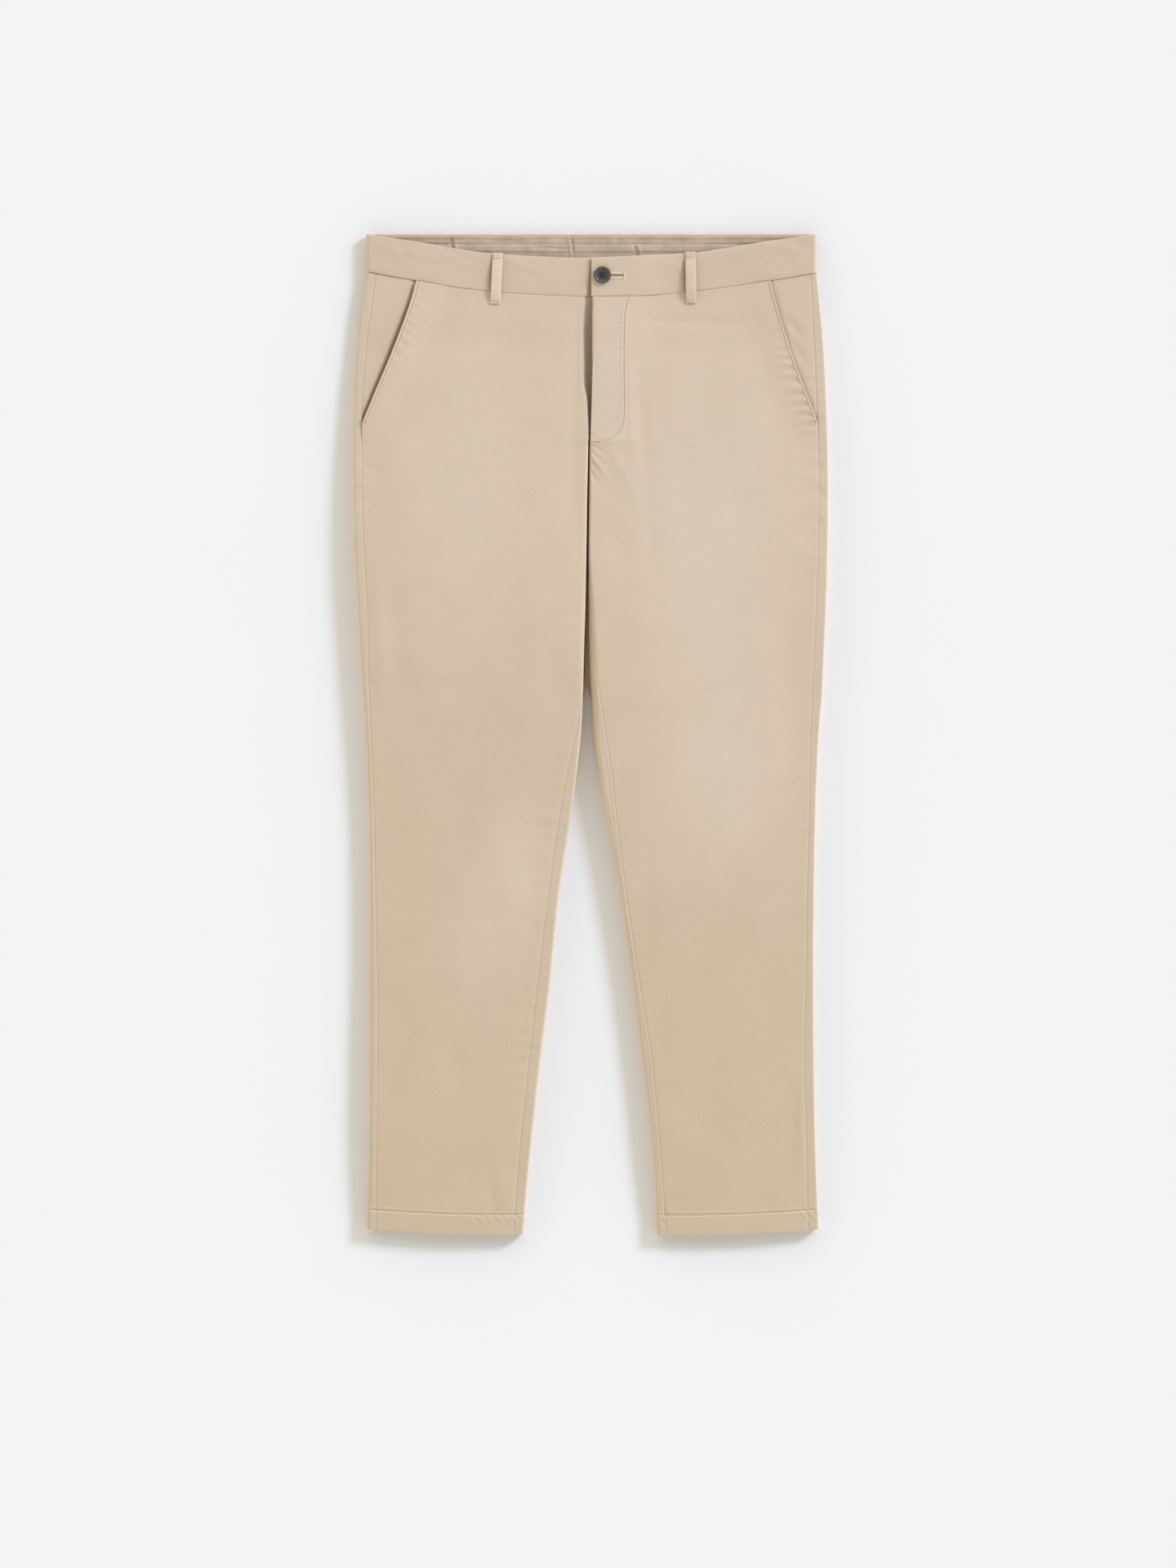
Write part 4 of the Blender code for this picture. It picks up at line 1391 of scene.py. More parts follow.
@dataclass
class TrouserLeg:
    """A leg's panels: the back with both rolled edges, the front, and the pocket facing."""

    leg: Leg
    row_pitch: float = 2.5
    close_rows: tuple[tuple[float, float, int], ...] = ((HEM_LINE, 4.5, 21), (FLY_END_Y - 18.0, 24.0, 43))
    bead_zone: float = 6.6
    fly_half_zone: float = 4.8
    seat_flap: float = 24.0
    fork_gap: float = 0.6
    facing_sink: float = 0.16
    gaping_sink: float = 1.38
    gaping_dip: float = 3.6
    facing_rows: int = 76
    facing_columns: int = 60
    edge_columns: int = 13
    wide_columns: int = 35
    fly_columns: int = 15
    inner_columns: int = 16
    roll_columns: int = 12
    seam_columns: int = 21
    under_columns: int = 14

    def rows(self) -> Array:
        """Row heights from the band seam to the hem, closer at the hem's stitches and fly's end.

        close_rows says where: the middle, half-length and number of rows of each stretch.

        Returns:
            The heights, as a column.
        """
        count = int((BAND_SEAM_Y - HEM_Y) / self.row_pitch)
        even = np.linspace(BAND_SEAM_Y - SEAM_GAP / 2, HEM_Y, count)
        for middle, half, extra in self.close_rows:
            even = np.concatenate([even[np.abs(even - middle) > half + 0.4],
                                   middle + np.linspace(-half, half, extra)])
        return np.sort(even)[::-1][:, None]

    def back_grid(self) -> Grid:
        """Side seam, outer roll, underside, inner roll and over to the inside-leg seam.

        Above the crotch the inner end lies flat and ends at the seat seam; below it, it
        rolls up. The two ends are mixed over a few millimetres at the crotch.

        Returns:
            The grid, from the outer edge to the inner one.
        """
        leg = self.leg
        y = self.rows()
        side_turn = leg.seam_turn(Edge.OUTER, y) - PANEL_GAP / 2 / leg.outer_reach
        outer_e = np.concatenate([mix(side_turn, 1.0, shares(10)[:-1] ** 1.5),
                                  mix(1.0, -1.0, shares(self.roll_columns) + 0 * y)], axis=1)
        outer_x, _, outer_z = leg.roll_point(Edge.OUTER, y, outer_e)

        leg_turn = leg.seam_turn(Edge.INNER, y) - PANEL_GAP / 2 / leg.reach(Edge.INNER, y)
        rolled_part = np.minimum(1.0, mix(-1.0, leg_turn, 0.6))
        inner_e = np.concatenate([mix(-1.0, rolled_part, shares(14)[:-1]),
                                  mix(rolled_part, leg_turn, 1 - shares(9)[::-1] ** 1.5)], axis=1)
        inner_x, _, inner_z = self.fork(y, inner_e, leg.roll_point(Edge.INNER, y, inner_e))

        rolled = step(-y, *SEAT_ROLL_ZONE)
        flat_end = pairs(y, CENTRE_BACK) + leg.side * PANEL_GAP / 2
        flat_x = mix(flat_end + leg.side * self.seat_flap, flat_end, shares(inner_e.shape[1]))
        inner_x = mix(flat_x, inner_x, rolled)
        inner_z = mix(leg.base(y) + 0 * flat_x, inner_z, rolled)

        under_x = mix(outer_x[:, -1:], inner_x[:, :1], shares(self.under_columns + 2)[1:-1])
        from_edges = np.minimum(leg.side * (under_x - inner_x[:, :1]),
                                leg.side * (outer_x[:, -1:] - under_x))
        dent = fold_height(BACK_FOLDS, under_x, y) * step(from_edges, 0.0, 20.0)

        x = np.concatenate([outer_x, under_x, inner_x], axis=1)
        z = np.concatenate([outer_z, leg.base(y) + dent, inner_z], axis=1)
        over_outer, over_inner = ((1 + np.sin(np.clip(e, -1, 1) * math.pi / 2)) / 2
                                  for e in (outer_e, inner_e))
        topness = np.concatenate([over_outer, 0 * under_x, rolled * over_inner], axis=1)
        return x, leg.bent_y(x, y + 0 * x, topness), z

    def fork(self, y: Array, e: Array, rolled: Grid) -> Grid:
        """Folds the back fork's spare cloth under the crotch, from leg to leg.

        Below the widest point of the inner roll the cloth drops to the fold, runs in to the
        middle of the gap, turns under and comes back; the fold ends softly below the crotch.

        Args:
            y: the rows.
            e: the inner roll's edge coordinates.
            rolled: the plain roll.

        Returns:
            The roll with the fold.
        """
        lower = np.clip(-e, 0.0, 1.0)
        middle = (RIGHT.edge(Edge.INNER, y) + LEFT.edge(Edge.INNER, y) + self.leg.side * self.fork_gap) / 2
        x = mix(self.leg.edge(Edge.INNER, y), middle, step(lower, 0.3, 0.8))
        half = self.leg.rise(1.0, y) / 2
        z = self.leg.base(y) + mix(half, FORK_FOLD, step(lower, 0.0, 0.35)) * (1 - step(lower, 0.8, 1.0))
        share = step(y, *FORK_ZONE) * (e < 0)
        return mix(rolled[0], x, share), rolled[1], mix(rolled[2], z, share)

    def front_grid(self) -> Grid:
        """From the pocket edge or side seam across to the fly, fork or inside-leg seam.

        Beside the fly the inner end runs straight on; from there to the crotch it turns
        down into the valley between the legs; below, it ends at the inside-leg seam.

        Returns:
            The grid, from the outer edge to the inner one.
        """
        leg = self.leg
        y = self.rows()
        side = leg.side
        start = mix(leg.side_seam(y), leg.pocket_edge(y), step(y, *SLANT_ZONE)) - side * PANEL_GAP / 2
        seam_e = leg.seam_turn(Edge.INNER, y) + PANEL_GAP / 2 / leg.reach(Edge.INNER, y)
        end_e = mix(VALLEY_TURN + 0 * y, seam_e, step(-y, *INSEAM_END_ZONE))
        turn_e = mix(np.maximum(1.0, end_e + 0.7), end_e, shares(self.seam_columns))
        turn_x, _, turn_z = leg.roll_point(Edge.INNER, y, turn_e)

        fly_x = pairs(y, FLY_EDGE) if side > 0 else FLY_UNDERLAP_X + 0 * y
        straight_x = mix(turn_x[:, :1], fly_x, shares(self.seam_columns))
        beside_fly = step(y, FLY_END_Y - 3.0, FLY_END_Y + (2.0 if side > 0 else 18.0))
        end_x = mix(turn_x, straight_x, beside_fly)
        end_z = mix(turn_z, leg.top(straight_x, y), beside_fly)

        body_x = self.body_columns(start, turn_x[:, :1], y)
        x = np.concatenate([body_x, end_x], axis=1)
        z = np.concatenate([leg.height(body_x, y) - leg.front_lift(body_x, y), end_z], axis=1)
        return x, leg.bent_y(x, y + 0 * x, 1.0), z + leg.front_lift(x, y + 0 * x)

    def body_columns(self, start: Array, end: Array, y: Array) -> Array:
        """Columns across the front: close together at the pocket's bead and the fly's stitches.

        The close columns that hold the fly's stitches drift towards the middle of the leg
        below the fly.

        Args:
            start: x of the outer end of each row.
            end: x of the inner end.
            y: the rows.

        Returns:
            x of the columns, without the inner end.
        """
        side = self.leg.side
        bead = start - side * self.bead_zone
        fly = mix(mix(end, bead, 0.35), side * FLY_FACING_WIDTH, step(y, 160.0, FLY_END_Y - 6.0))
        stops = [start, bead, fly + side * self.fly_half_zone, fly - side * self.fly_half_zone, end]
        counts = [self.edge_columns, self.wide_columns, self.fly_columns if side > 0 else 3,
                  self.inner_columns]
        runs = [mix(low, high, shares(count + 1)[:-1])
                for low, high, count in zip(stops, stops[1:], counts)]
        return np.concatenate(runs, axis=1)

    def facing_grid(self) -> Grid:
        """The pocket's facing, from the side seam to under the front's slanting edge.

        It sinks inside the edge, and where the pocket gapes it dips in a bell below it.

        Returns:
            The grid, from the seam inwards.
        """
        leg = self.leg
        y = np.linspace(BAND_SEAM_Y - SEAM_GAP / 2, POCKET_END_Y - 5.0, self.facing_rows)[:, None]
        start = leg.side_seam(y) - leg.side * PANEL_GAP / 2
        end = leg.pocket_edge(y) - leg.side * FACING_UNDERLAP
        x = mix(start, end, shares(self.facing_columns))
        inside = leg.side * (leg.pocket_edge(y) - x)
        open_wide = leg.gape * mix(0.4, 1.0, step(BAND_SEAM_Y - y, 0.0, 60.0))
        sunk = (self.facing_sink + self.gaping_sink * leg.gape) * step(inside, -9.0, 5.0)
        sunk = sunk + self.gaping_dip * open_wide * bell(inside + 0.4, 1.9)
        z = leg.height(x, y) - leg.front_lift(x, y) - FACING_DROP - sunk
        return x, leg.bent_y(x, y + 0 * x, 1.0), z

    def hem_shares(self, grid: Grid) -> Array:
        """Share of the hem's full wall: one layer above the stitch line, all below it."""
        y = self.rows() + 0 * grid[0]
        return mix(CLOTH / HEM_WALL, 1.0, step(HEM_LINE - y, 0.2, 1.6))

    def build(self, finishes: Finishes) -> None:
        """Makes the back, the front and the pocket's facing.

        Args:
            finishes: the materials, each made once.
        """
        name = self.leg.name
        for panel, grid, node, under in (
            ("back_panel", self.back_grid(), "back", f"belt_loop_back_{name}"),
            ("front_panel", self.front_grid(), "front", f"back_panel_{name}"),
        ):
            make_cloth(f"{panel}_{name}", grid, self.leg.side > 0, HEM_WALL, (finishes.twill, "twill"),
                       f"{node}_{name}", thinner=self.hem_shares(grid))
        make_cloth(f"pocket_facing_panel_{name}", self.facing_grid(), self.leg.side > 0, CLOTH,
                   (finishes.twill, "twill"), f"pocket_facing_{name}")


@dataclass
class Waistband:
    """Half of the folded band, from its fly end round the side to the centre back."""

    leg: Leg
    wall: float = BAND
    lining_wall: float = 0.8
    lining_end_x: float = 226.0
    lining_top_gap: float = 2.2
    lining_strips: tuple[tuple[float, float], ...] = ((-0.8, 521.9), (-0.7, 508.1))
    puff: float = 0.45
    lining_crest: float = 0.9
    thread_radius: float = 0.33

    def front_height(self, x: Array, share: Array) -> Array:
        """The right end sinks as the underlap, most at its seam; the left end laps over it.

        Args:
            x: where along the band.
            share: how far down the band, from 0 at its top to 1 at its seam.

        Returns:
            The middle of the wall, before padding and folds.
        """
        if self.leg.side < 0:
            level = step((-x - mix(-1.0, 0.0, share)) / mix(1.5, 6.0, share), 0.0, 1.0)
            return BAND_FRONT_Z - mix(0.6, 3.4, share) * (1 - level)
        return mix(BAND_LAP_Z, BAND_FRONT_Z, step(x, 44.0, 86.0)) + 0 * share

    def band_grid(self) -> Grid:
        """The band as a level front, a half circle round the side and a level back.

        Returns:
            The grid: rows across the band, columns along it.
        """
        leg = self.leg
        share = shares(24)[:, None]
        fly_end = 1.0 if leg.side > 0 else BAND_UNDERLAP_X
        edge = leg.column("outer", np.array(BAND_SEAM_Y)) - leg.side * self.wall / 2
        roll = (BAND_FRONT_Z - BAND_BACK_Z) / 2
        centre = edge - leg.side * roll
        front_x = mix(fly_end, centre, shares(280))[:-1]
        angle = np.linspace(0.0, math.pi, 17)
        back_x = mix(centre, self.join_x(), shares(30))[1:]
        x = np.concatenate([front_x, centre + leg.side * roll * np.sin(angle), back_x])
        z = np.concatenate([self.front_height(front_x, share),
                            BAND_BACK_Z + roll + roll * np.cos(angle) + 0 * share,
                            BAND_BACK_Z + 0 * back_x + 0 * share], axis=1)
        dips = np.concatenate([np.ones(len(front_x)), (1 + np.cos(angle)) / 2, 0 * back_x])
        top = mix(BACK_TOP_Y, waist_curve("top", x), dips)
        seam = mix(BAND_SEAM_Y, waist_curve("seam", x), dips) + SEAM_GAP / 2
        y = mix(top[None, :], seam[None, :], share)
        x = x[None, :] + 0 * y
        return x, y, z + self.relief(x, y) * dips[None, :]

    def join_x(self) -> float:
        """Where this half ends at the centre back."""
        return CENTRE_BACK[0][1] + self.leg.side * PANEL_GAP / 2

    def relief(self, x: Array, y: Array) -> Array:
        """The front band's padding between its edges, slow waves and folds.

        Args:
            x, y: where, along the band and across it.

        Returns:
            The height to add to the band.
        """
        top = waist_curve("top", x)
        share = np.clip((top - y) / (top - waist_curve("seam", x)), 0.0, 1.0)
        puffed = self.puff * (1 - (2 * share - 1) ** 6)
        return fold_height(self.leg.band_folds, x, y) + puffed + BAND_WAVE.lift(x, y, self.leg.turn, 1.3)

    def on_top(self, x: Array, y: Array) -> PathPoints:
        """Points on the outer face of the front band."""
        return PathPoints(x, y, self.front_height(x, 0 * x) + self.wall / 2 + self.relief(x, y))

    def lining_height(self, x: Array, y: Array) -> Array:
        """Three strips that step down from the top, with a stitched groove, creases and waves."""
        steps = sum(drop * step(-y, -at - 0.5, -at + 0.5) for drop, at in self.lining_strips)
        creases = ridges(y, TAPE_GROOVE) + fold_height(LINING_FOLDS, x, y)
        return LINING_Z + self.lining_crest + steps + creases + TAPE_WAVE.lift(x, y, 0.8, x / 41.0)

    def lining_grid(self) -> Grid:
        """Half of the tape inside the back band."""
        x = mix(self.leg.side * self.lining_end_x, self.join_x(), shares(200))[None, :]
        y = np.linspace(BACK_TOP_Y - self.lining_top_gap, BAND_SEAM_Y + 1.0, 46)[:, None]
        return x + 0 * y, y + 0 * x, self.lining_height(x, y)

    def build(self, finishes: Finishes) -> None:
        """Makes the band, its lining and the lining's stitches.

        Args:
            finishes: the materials, each made once.
        """
        name = self.leg.name
        flip = self.leg.side > 0
        # The band carries the painted light patches with an even painted shade of 0.1.
        make_cloth(f"waistband_half_{name}", self.band_grid(), flip, self.wall, (finishes.twill, "twill"),
                   f"waistband_{name}", 0.8, -0.1)
        lining = self.lining_grid()
        make_cloth(f"lining_tape_{name}", lining, flip, self.lining_wall, (finishes.tape, "lining"),
                   f"waistband_lining_{name}", painted_light_offset=None)
        x = lining[0][0, ::-1]
        y = LINING_STITCH_Y + 0 * x
        path = PathPoints(x, y, self.lining_height(x, y) + self.lining_wall / 2 + 0.25)
        stitches = sewn_line(path, 8.6, 5.2, self.thread_radius)
        sew(f"lining_stitches_{name}", stitches, self.thread_radius, finishes.thread)


@dataclass
class BeltLoop:
    """A folded strap tacked at its top and bottom."""

    place: str
    x_top: float
    x_bottom: float
    front: bool
    arch: float = 0.0
    width: float = 10.8
    wall: float = 1.2
    above_band: float = 1.2
    below_seam: float = 12.5
    padding: float = 0.55
    tack_shares: tuple[float, float] = (0.1, 0.94)
    tack_width: float = 1.7
    tack_pitch: float = 0.6
    thread_radius: float = 0.33
    rounding: float = 0.55
    # An even share of painted light over the strap, which makes it lighter than the band.
    painted_light_offset: float = 0.5

    def grid(self) -> Grid:
        """Across and down the strap, with a low arch between its tacks.

        The edges sink by the fifth power of the distance from the middle, and each tack
        pulls the strap down and in by a bell.

        Returns:
            The grid, from the top of the strap to its end.
        """
        share = shares(42)[:, None]
        across = np.linspace(-0.5, 0.5, 13)[None, :]
        tacks = [bell(share - at, 0.04) for at in self.tack_shares]
        pinch = 1 - 0.14 * tacks[0] - 0.04 * tacks[1]
        x = mix(self.x_top, self.x_bottom, share) + across * self.width * pinch
        if self.front:
            top = float(waist_curve("top", np.array(self.x_top))) + self.above_band
            bottom = float(waist_curve("seam", np.array(self.x_bottom))) - self.below_seam
            z_end = BAND_FRONT_Z + BAND / 2 + SEAM_GAP + self.wall / 2 + self.padding
            hump = np.minimum(step(share, 0.05, 0.45), step(-share, -1.0, -0.7))
            z = z_end + self.arch * hump * (1 - 0.35 * across) - 0.2 * tacks[0] - 0.3 * tacks[1]
        else:
            top, bottom = BACK_TOP_Y - 0.5, BAND_SEAM_Y - self.below_seam
            z = self.wall / 2 + 0 * share
        y = mix(top, bottom, share) + 0 * x
        crown = 0.2 * (1 - (2 * across) ** 2) - 0.3 * np.abs(2 * across) ** 5 if self.front else 0.0
        return x, y, z + crown + 0 * x

    def tack(self, grid: Grid, at: float) -> Array:
        """A bar of satin across the strap at a share of its length.

        Args:
            grid: the strap's points.
            at: the share of its length.

        Returns:
            Centres of the rings, stitches by 5 by 3.
        """
        row = round(at * (len(grid[0]) - 1))
        x, y, z = (part[row, 1:-1] for part in grid)
        path = PathPoints(x, y, z + self.wall / 2 + 0.1)
        return satin_line(path, self.tack_width, self.tack_pitch, self.thread_radius)

    def build(self, finishes: Finishes) -> None:
        """Makes the strap, and on a front loop its bar tacks.

        Args:
            finishes: the materials, each made once.
        """
        grid = self.grid()
        make_cloth(f"belt_loop_strap_{self.place}", grid, False, self.wall, (finishes.twill, "twill"),
                   f"belt_loop_{self.place}", self.rounding, self.painted_light_offset)
        if self.front:
            tacks = np.concatenate([self.tack(grid, at) for at in self.tack_shares])
            sew(f"belt_loop_tacks_{self.place}", tacks, self.thread_radius, finishes.thread)


def turned(name: str, centre: tuple[float, float, float], profile: Array,
           segments: int) -> bpy.types.Object:
    """Turns a profile about an upright axis into a closed shell.

    The points that meet at the seam and the poles are merged, and the faces turned
    outwards.

    Args:
        name: the object's name.
        centre: the foot of the axis, in millimetres.
        profile: (radius, height) points from pole to pole.
        segments: steps round the axis.

    Returns:
        The linked object.
    """
    angle = np.linspace(0.0, 2 * math.pi, segments + 1)[:, None]
    x = centre[0] + profile[:, 0] * np.cos(angle)
    y = centre[1] + profile[:, 0] * np.sin(angle)
    obj = sheet_mesh(name, (x, y, centre[2] + profile[:, 1] + 0 * angle), False)
    bm = bmesh.new()
    bm.from_mesh(obj.data)
    bmesh.ops.remove_doubles(bm, verts=bm.verts, dist=1e-6)
    bmesh.ops.recalc_face_normals(bm, faces=bm.faces)
    bm.to_mesh(obj.data)
    bm.free()
    return obj


@dataclass
class Button:
    """A four-hole button with a raised rim, sewn on with a cross of dark thread."""

    x: float = 12.6
    y: float = 482.9
    radius: float = 9.0
    hole_pitch: float = 3.6
    hole_radius: float = 0.95
    dish: float = 1.66
    strand_gap: float = 0.315
    strand_radius: float = 0.3
    segments: int = 72

    def base_z(self) -> float:
        """The button's underside, just above the lapped end of the band."""
        return BAND_LAP_Z + BAND / 2 + 0.35 + SEAM_GAP

    def disc(self) -> bpy.types.Object:
        """Turns the rim and the dish about the middle, and drills the four holes.

        Returns:
            The finished disc.
        """
        r, dish = self.radius, self.dish
        profile = np.array((
            (0.0, 0.0), (r - 2.2, 0.0), (r - 0.9, 0.25), (r - 0.2, 0.9), (r, 1.5), (r - 0.12, 2.1),
            (r - 0.5, 2.6), (r - 1.1, 2.8), (r - 1.7, 2.65), (r - 2.2, 2.2), (r - 2.6, 1.9),
            (r - 3.4, dish + 0.06), (r - 5.4, dish), (0.0, dish)))
        obj = turned("resin_button", (self.x, self.y, self.base_z()), profile, self.segments)
        for across, along in ((-1, -1), (1, -1), (1, 1), (-1, 1)):
            self.drill(obj, across * self.hole_pitch / 2, along * self.hole_pitch / 2)
        obj.data.set_sharp_from_angle(angle=math.radians(40.0))
        return obj

    def drill(self, obj: bpy.types.Object, across: float, along: float) -> None:
        """Cuts one sewing hole through the disc.

        Args:
            obj: the disc.
            across, along: the hole's place from the middle, in millimetres.
        """
        r = self.hole_radius
        profile = np.array(((0.0, -2.0), (r, -2.0), (r, 5.0), (0.0, 5.0)))
        cutter = turned("drill", (self.x + across, self.y + along, self.base_z()), profile, 24)
        cut = obj.modifiers.new("Hole", "BOOLEAN")
        cut.operation = "DIFFERENCE"
        cut.object = cutter
        graph = bpy.context.evaluated_depsgraph_get()
        cut_mesh = bpy.data.meshes.new_from_object(obj.evaluated_get(graph))
        obj.modifiers.clear()
        obj.data = cut_mesh
        bpy.data.objects.remove(cutter, do_unlink=True)

    def cross(self) -> bpy.types.Object:
        """Two crossed runs of three strands from hole to hole.

        Each strand rises by 1 - share^6 from one hole and sinks into the other.

        Returns:
            The strands as one object.
        """
        half = self.hole_pitch / 2
        share = np.linspace(-1.0, 1.0, 9)
        strands = []
        for turn in (-1.0, 1.0):
            for beside in (-self.strand_gap, 0.0, self.strand_gap):
                x = self.x + share * half + beside * turn
                y = self.y + turn * share * half - beside
                z = self.base_z() + self.dish + 0.55 * (1 - share ** 6) - 0.5 * np.abs(share) ** 8
                strands.append(np.stack([x, y, z + 0.22 * (turn > 0)], axis=-1))
        return tubes("button_thread_cross", np.array(strands), np.full(9, self.strand_radius))

    def build(self, finishes: Finishes) -> None:
        """Makes the disc and its thread."""
        dress(self.disc(), finishes.resin, "button", ["button"])
        dress(self.cross(), finishes.button_thread, "button")


@dataclass
class Sewing:
    """The rows of stitches that show on one leg, each row a mesh of its own."""

    leg: Leg
    pitch: float = 3.2
    stitch: float = 2.7
    radius: float = 0.27
    tack_width: float = 1.9
    tack_pitch: float = 0.55
    tack_radius: float = 0.32
    tack_lift: float = 0.2
    hem_ends: tuple[float, float] = (2.4, 2.8)
    inseam_top: float = 84.0
    pocket_tack_ends: tuple[float, float] = (0.4, 4.2)
    fly_tack_ends: tuple[float, float] = (2.0, 10.5)

    def hem(self) -> PathPoints:
        """Across the top layer of the hem."""
        outer, inner = (self.leg.edge(edge, np.array(HEM_LINE)) + self.leg.inward(edge) * inset
                        for edge, inset in zip(Edge, self.hem_ends))
        return self.leg.on_top(mix(outer, inner, shares(160)), HEM_LINE)

    def pocket(self) -> PathPoints:
        """Down the pocket opening, a bead's width in from its edge."""
        y = np.linspace(BAND_SEAM_Y - 2.0, POCKET_END_Y + 3.0, 130)
        return self.leg.on_top(self.leg.pocket_edge(y) - self.leg.side * POCKET_BEAD, y)

    def pocket_tack(self, y: float) -> PathPoints:
        """A short bar across the bead."""
        edge = self.leg.pocket_edge(np.array(y))
        across = np.linspace(*self.pocket_tack_ends, 9)
        return self.leg.on_top(edge - self.leg.side * across, y, self.tack_lift)

    def inseam(self) -> PathPoints:
        """Down the felled inside-leg seam."""
        y = np.linspace(self.inseam_top, HEM_LINE + 2.0, 520)
        return self.leg.on_top(self.leg.leg_seam(y) - self.leg.side * FELL, y)

    def build(self, finishes: Finishes) -> None:
        """Sews the hem and the pocket, and on the left leg the inseam and the fly.

        Args:
            finishes: the materials, each made once.
        """
        name = self.leg.name
        rows = {f"hem_stitches_{name}": self.hem(), f"pocket_stitches_{name}": self.pocket()}
        tacks = {f"pocket_tack_{name}": self.pocket_tack(POCKET_END_Y + 4.5)}
        if self.leg.side > 0:
            rows["inseam_stitches_left"] = self.inseam()
            rows["fly_stitches"] = self.leg.on_top(*fly_stitch_path())
            across = np.linspace(*self.fly_tack_ends, 12)
            tacks["fly_tack"] = self.leg.on_top(across, FLY_END_Y + 0.6, self.tack_lift)
        for row_name, path in rows.items():
            centres = sewn_line(path, self.pitch, self.stitch, self.radius)
            sew(row_name, centres, self.radius, finishes.thread)
        for tack_name, path in tacks.items():
            centres = satin_line(path, self.tack_width, self.tack_pitch, self.tack_radius)
            sew(tack_name, centres, self.tack_radius, finishes.thread)


@dataclass
class Buttonhole:
    """A worked buttonhole: satin along both sides of its slit, a bar at its end, and painted shade in the
    slit.
    """

    band: Waistband
    slit: tuple[float, float] = (20.5, 34.5)
    y: float = 482.6
    lip: float = 2.5
    satin_width: float = 2.6
    bar_half: float = 3.8
    bar_width: float = 1.9
    bar_gap: float = 1.3
    pitch: float = 0.75
    radius: float = 0.42
    slit_shade_radius: float = 0.55

    def build(self, finishes: Finishes) -> None:
        """Makes the satin, the end bar, and a dark cord along the slit that paints its shade.

        Args:
            finishes: the materials, each made once.
        """
        x = np.linspace(*self.slit, 40)
        rows = [satin_line(self.band.on_top(x, self.y + side * self.lip + 0 * x), self.satin_width,
                           self.pitch, self.radius) for side in (-1, 1)]
        y = self.y + np.linspace(-self.bar_half, self.bar_half, 20)
        bar = self.band.on_top(self.slit[1] + self.bar_gap + 0 * y, y)
        rows.append(satin_line(bar, self.bar_width, self.pitch, self.radius))
        sew("buttonhole_stitches", np.concatenate(rows), self.radius, finishes.twist)
        # A dark cord along the slit, as painted shade in the opening.
        centres = np.stack(self.band.on_top(x, self.y + 0 * x), axis=-1)[None]
        gimp = tubes("buttonhole_gimp", centres, np.full(len(x), self.slit_shade_radius))
        dress(gimp, finishes.gimp, "twill")


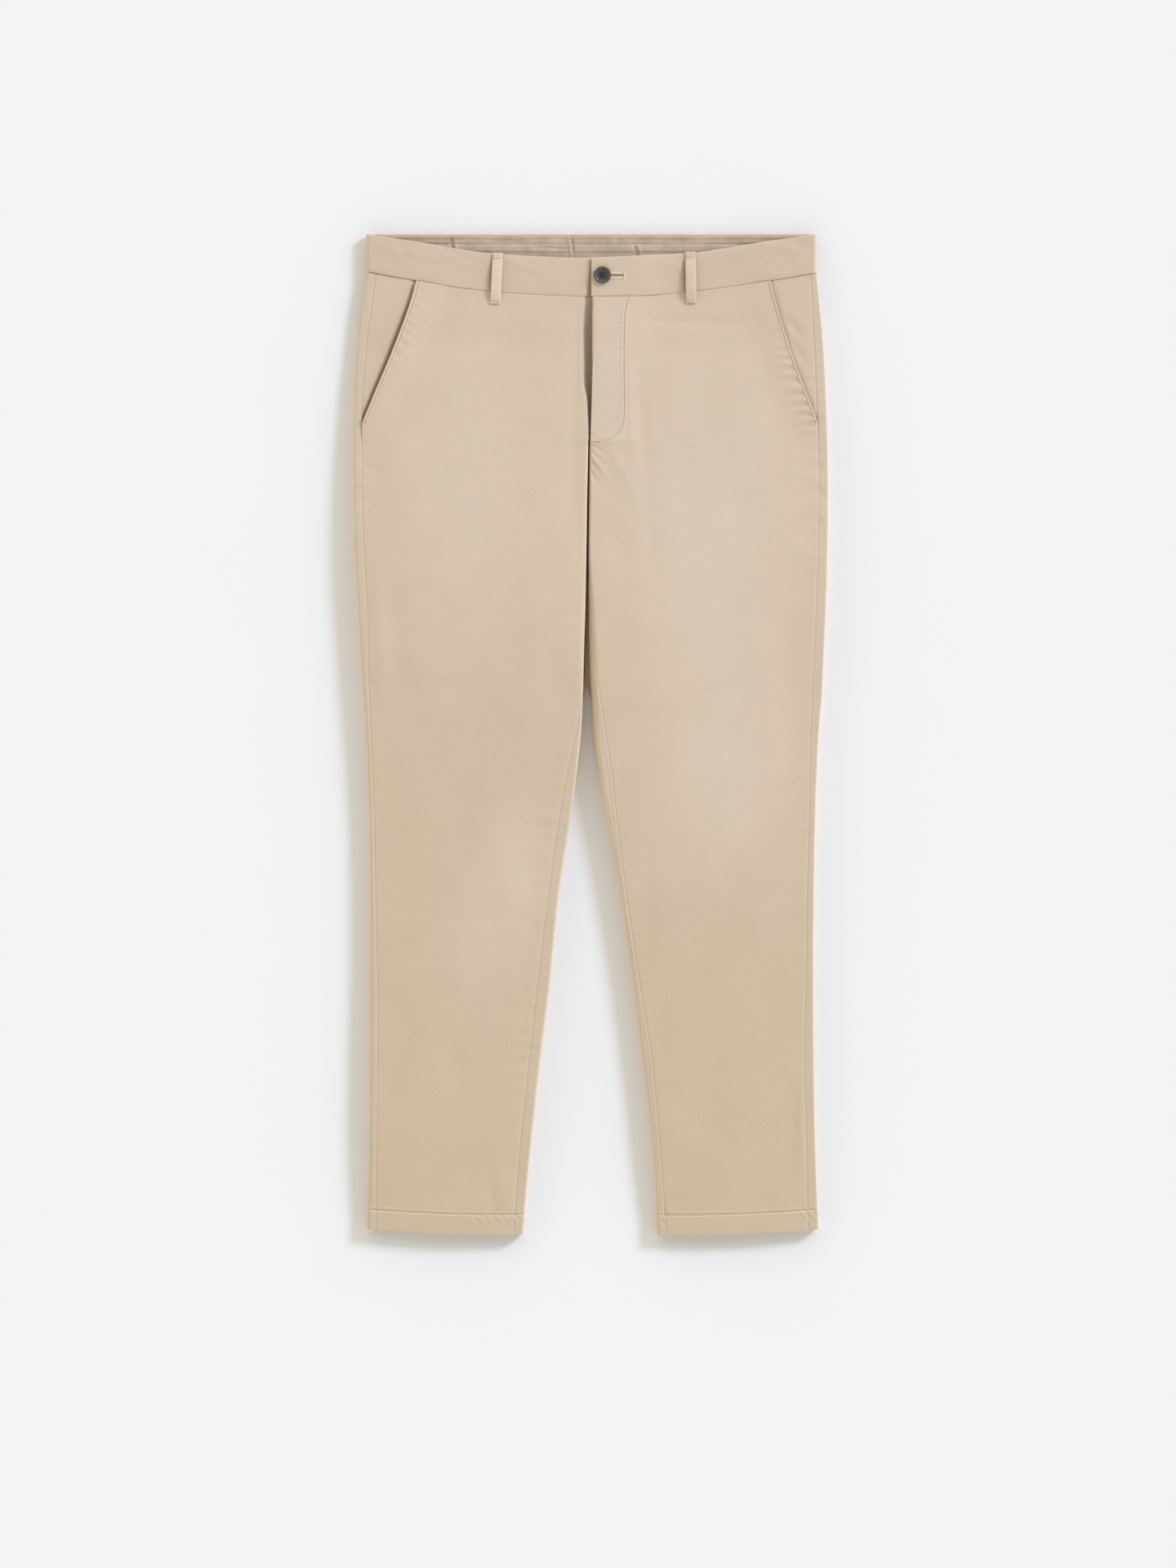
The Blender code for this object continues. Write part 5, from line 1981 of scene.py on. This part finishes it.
@dataclass
class Studio:
    """White floor, soft even light, a low soft sun from the upper right, and the camera.

    Its lengths are in metres.
    """

    floor_half: float = 15.0
    camera_height: float = 6.0
    lens: float = 130.8
    look_at: tuple[float, float] = (-0.0026, -0.0520)
    sun_from: tuple[float, float] = (0.79, 0.61)
    sun_elevation: float = 23.5
    sun_angle: float = 12.0
    sun_strength: float = 2.45
    sun_colour: tuple[float, float, float] = (0.654, 0.761, 1.0)
    sky_strength: float = 2.19
    sky_colour: tuple[float, float, float] = (1.0, 0.959, 0.866)
    zenith_dimming: float = 0.95

    def build(self, finishes: Finishes) -> None:
        """Adds the floor, the lights and the camera.

        Args:
            finishes: the materials, each made once.
        """
        x, y = np.meshgrid([-self.floor_half, self.floor_half], [-self.floor_half, self.floor_half])
        floor = sheet_mesh("floor", (x / MM, y / MM, 0 * x), False)
        floor.data.materials.append(finishes.floor)
        self.add_sky()
        self.add_sun()
        self.add_camera()
        bpy.context.scene.view_settings.view_transform = "Standard"

    def add_sky(self) -> None:
        """An even sky that grows dimmer from the horizon to the zenith."""
        world = bpy.data.worlds.new("soft sky")
        bpy.context.scene.world = world
        world.use_nodes = True
        tree = world.node_tree
        sky = tree.nodes["Background"]
        sky.inputs["Color"].default_value = (*self.sky_colour, 1.0)
        towards = add_node(tree, "TexCoord")
        split = add_node(tree, "SeparateXYZ", in0=towards.outputs["Generated"])
        falling = add_node(tree, "MapRange", Value=split.outputs[2], in1=0.0, in2=1.0,
                           in3=self.sky_strength, in4=self.sky_strength * (1 - self.zenith_dimming))
        tree.links.new(falling.outputs[0], sky.inputs["Strength"])

    def add_sun(self) -> None:
        """A wide, soft sun."""
        light = bpy.data.lights.new("soft sun", "SUN")
        light.energy = self.sun_strength
        light.angle = math.radians(self.sun_angle)
        light.color = self.sun_colour
        sun = bpy.data.objects.new("soft sun", light)
        tilt = math.radians(self.sun_elevation)
        across, along = self.sun_from
        towards = Vector((-across * math.cos(tilt), -along * math.cos(tilt), -math.sin(tilt)))
        sun.rotation_euler = towards.to_track_quat("-Z", "Y").to_euler()
        bpy.context.scene.collection.objects.link(sun)

    def add_camera(self) -> None:
        """A long lens straight above."""
        view = bpy.data.cameras.new("overhead")
        view.lens = self.lens
        view.clip_end = 100.0
        camera = bpy.data.objects.new("overhead", view)
        camera.location = (*self.look_at, self.camera_height)
        bpy.context.scene.collection.objects.link(camera)
        bpy.context.scene.camera = camera


def main() -> None:
    """Builds the trousers in order around the frame."""
    logging.basicConfig(level=logging.INFO, format="%(message)s")
    finishes = Finishes.make()
    Studio().build(finishes)
    for leg in LEGS:
        TrouserLeg(leg).build(finishes)
        Waistband(leg).build(finishes)
        Sewing(leg).build(finishes)
    Buttonhole(Waistband(LEFT)).build(finishes)
    for loop in (
        # The front loops carry painted light: 0.5 by default, 0.05 on the left one.
        BeltLoop("front_right", -97.5, -100.0, True, 1.8),
        BeltLoop("front_left", 105.0, 106.0, True, 2.6, painted_light_offset=0.05),
        BeltLoop("back_right", -138.0, -138.0, False),
        BeltLoop("back_centre", -21.0, -21.0, False),
        BeltLoop("back_left", 112.0, 112.0, False),
    ):
        loop.build(finishes)
    Button().build(finishes)


if __name__ == "__main__":
    main()
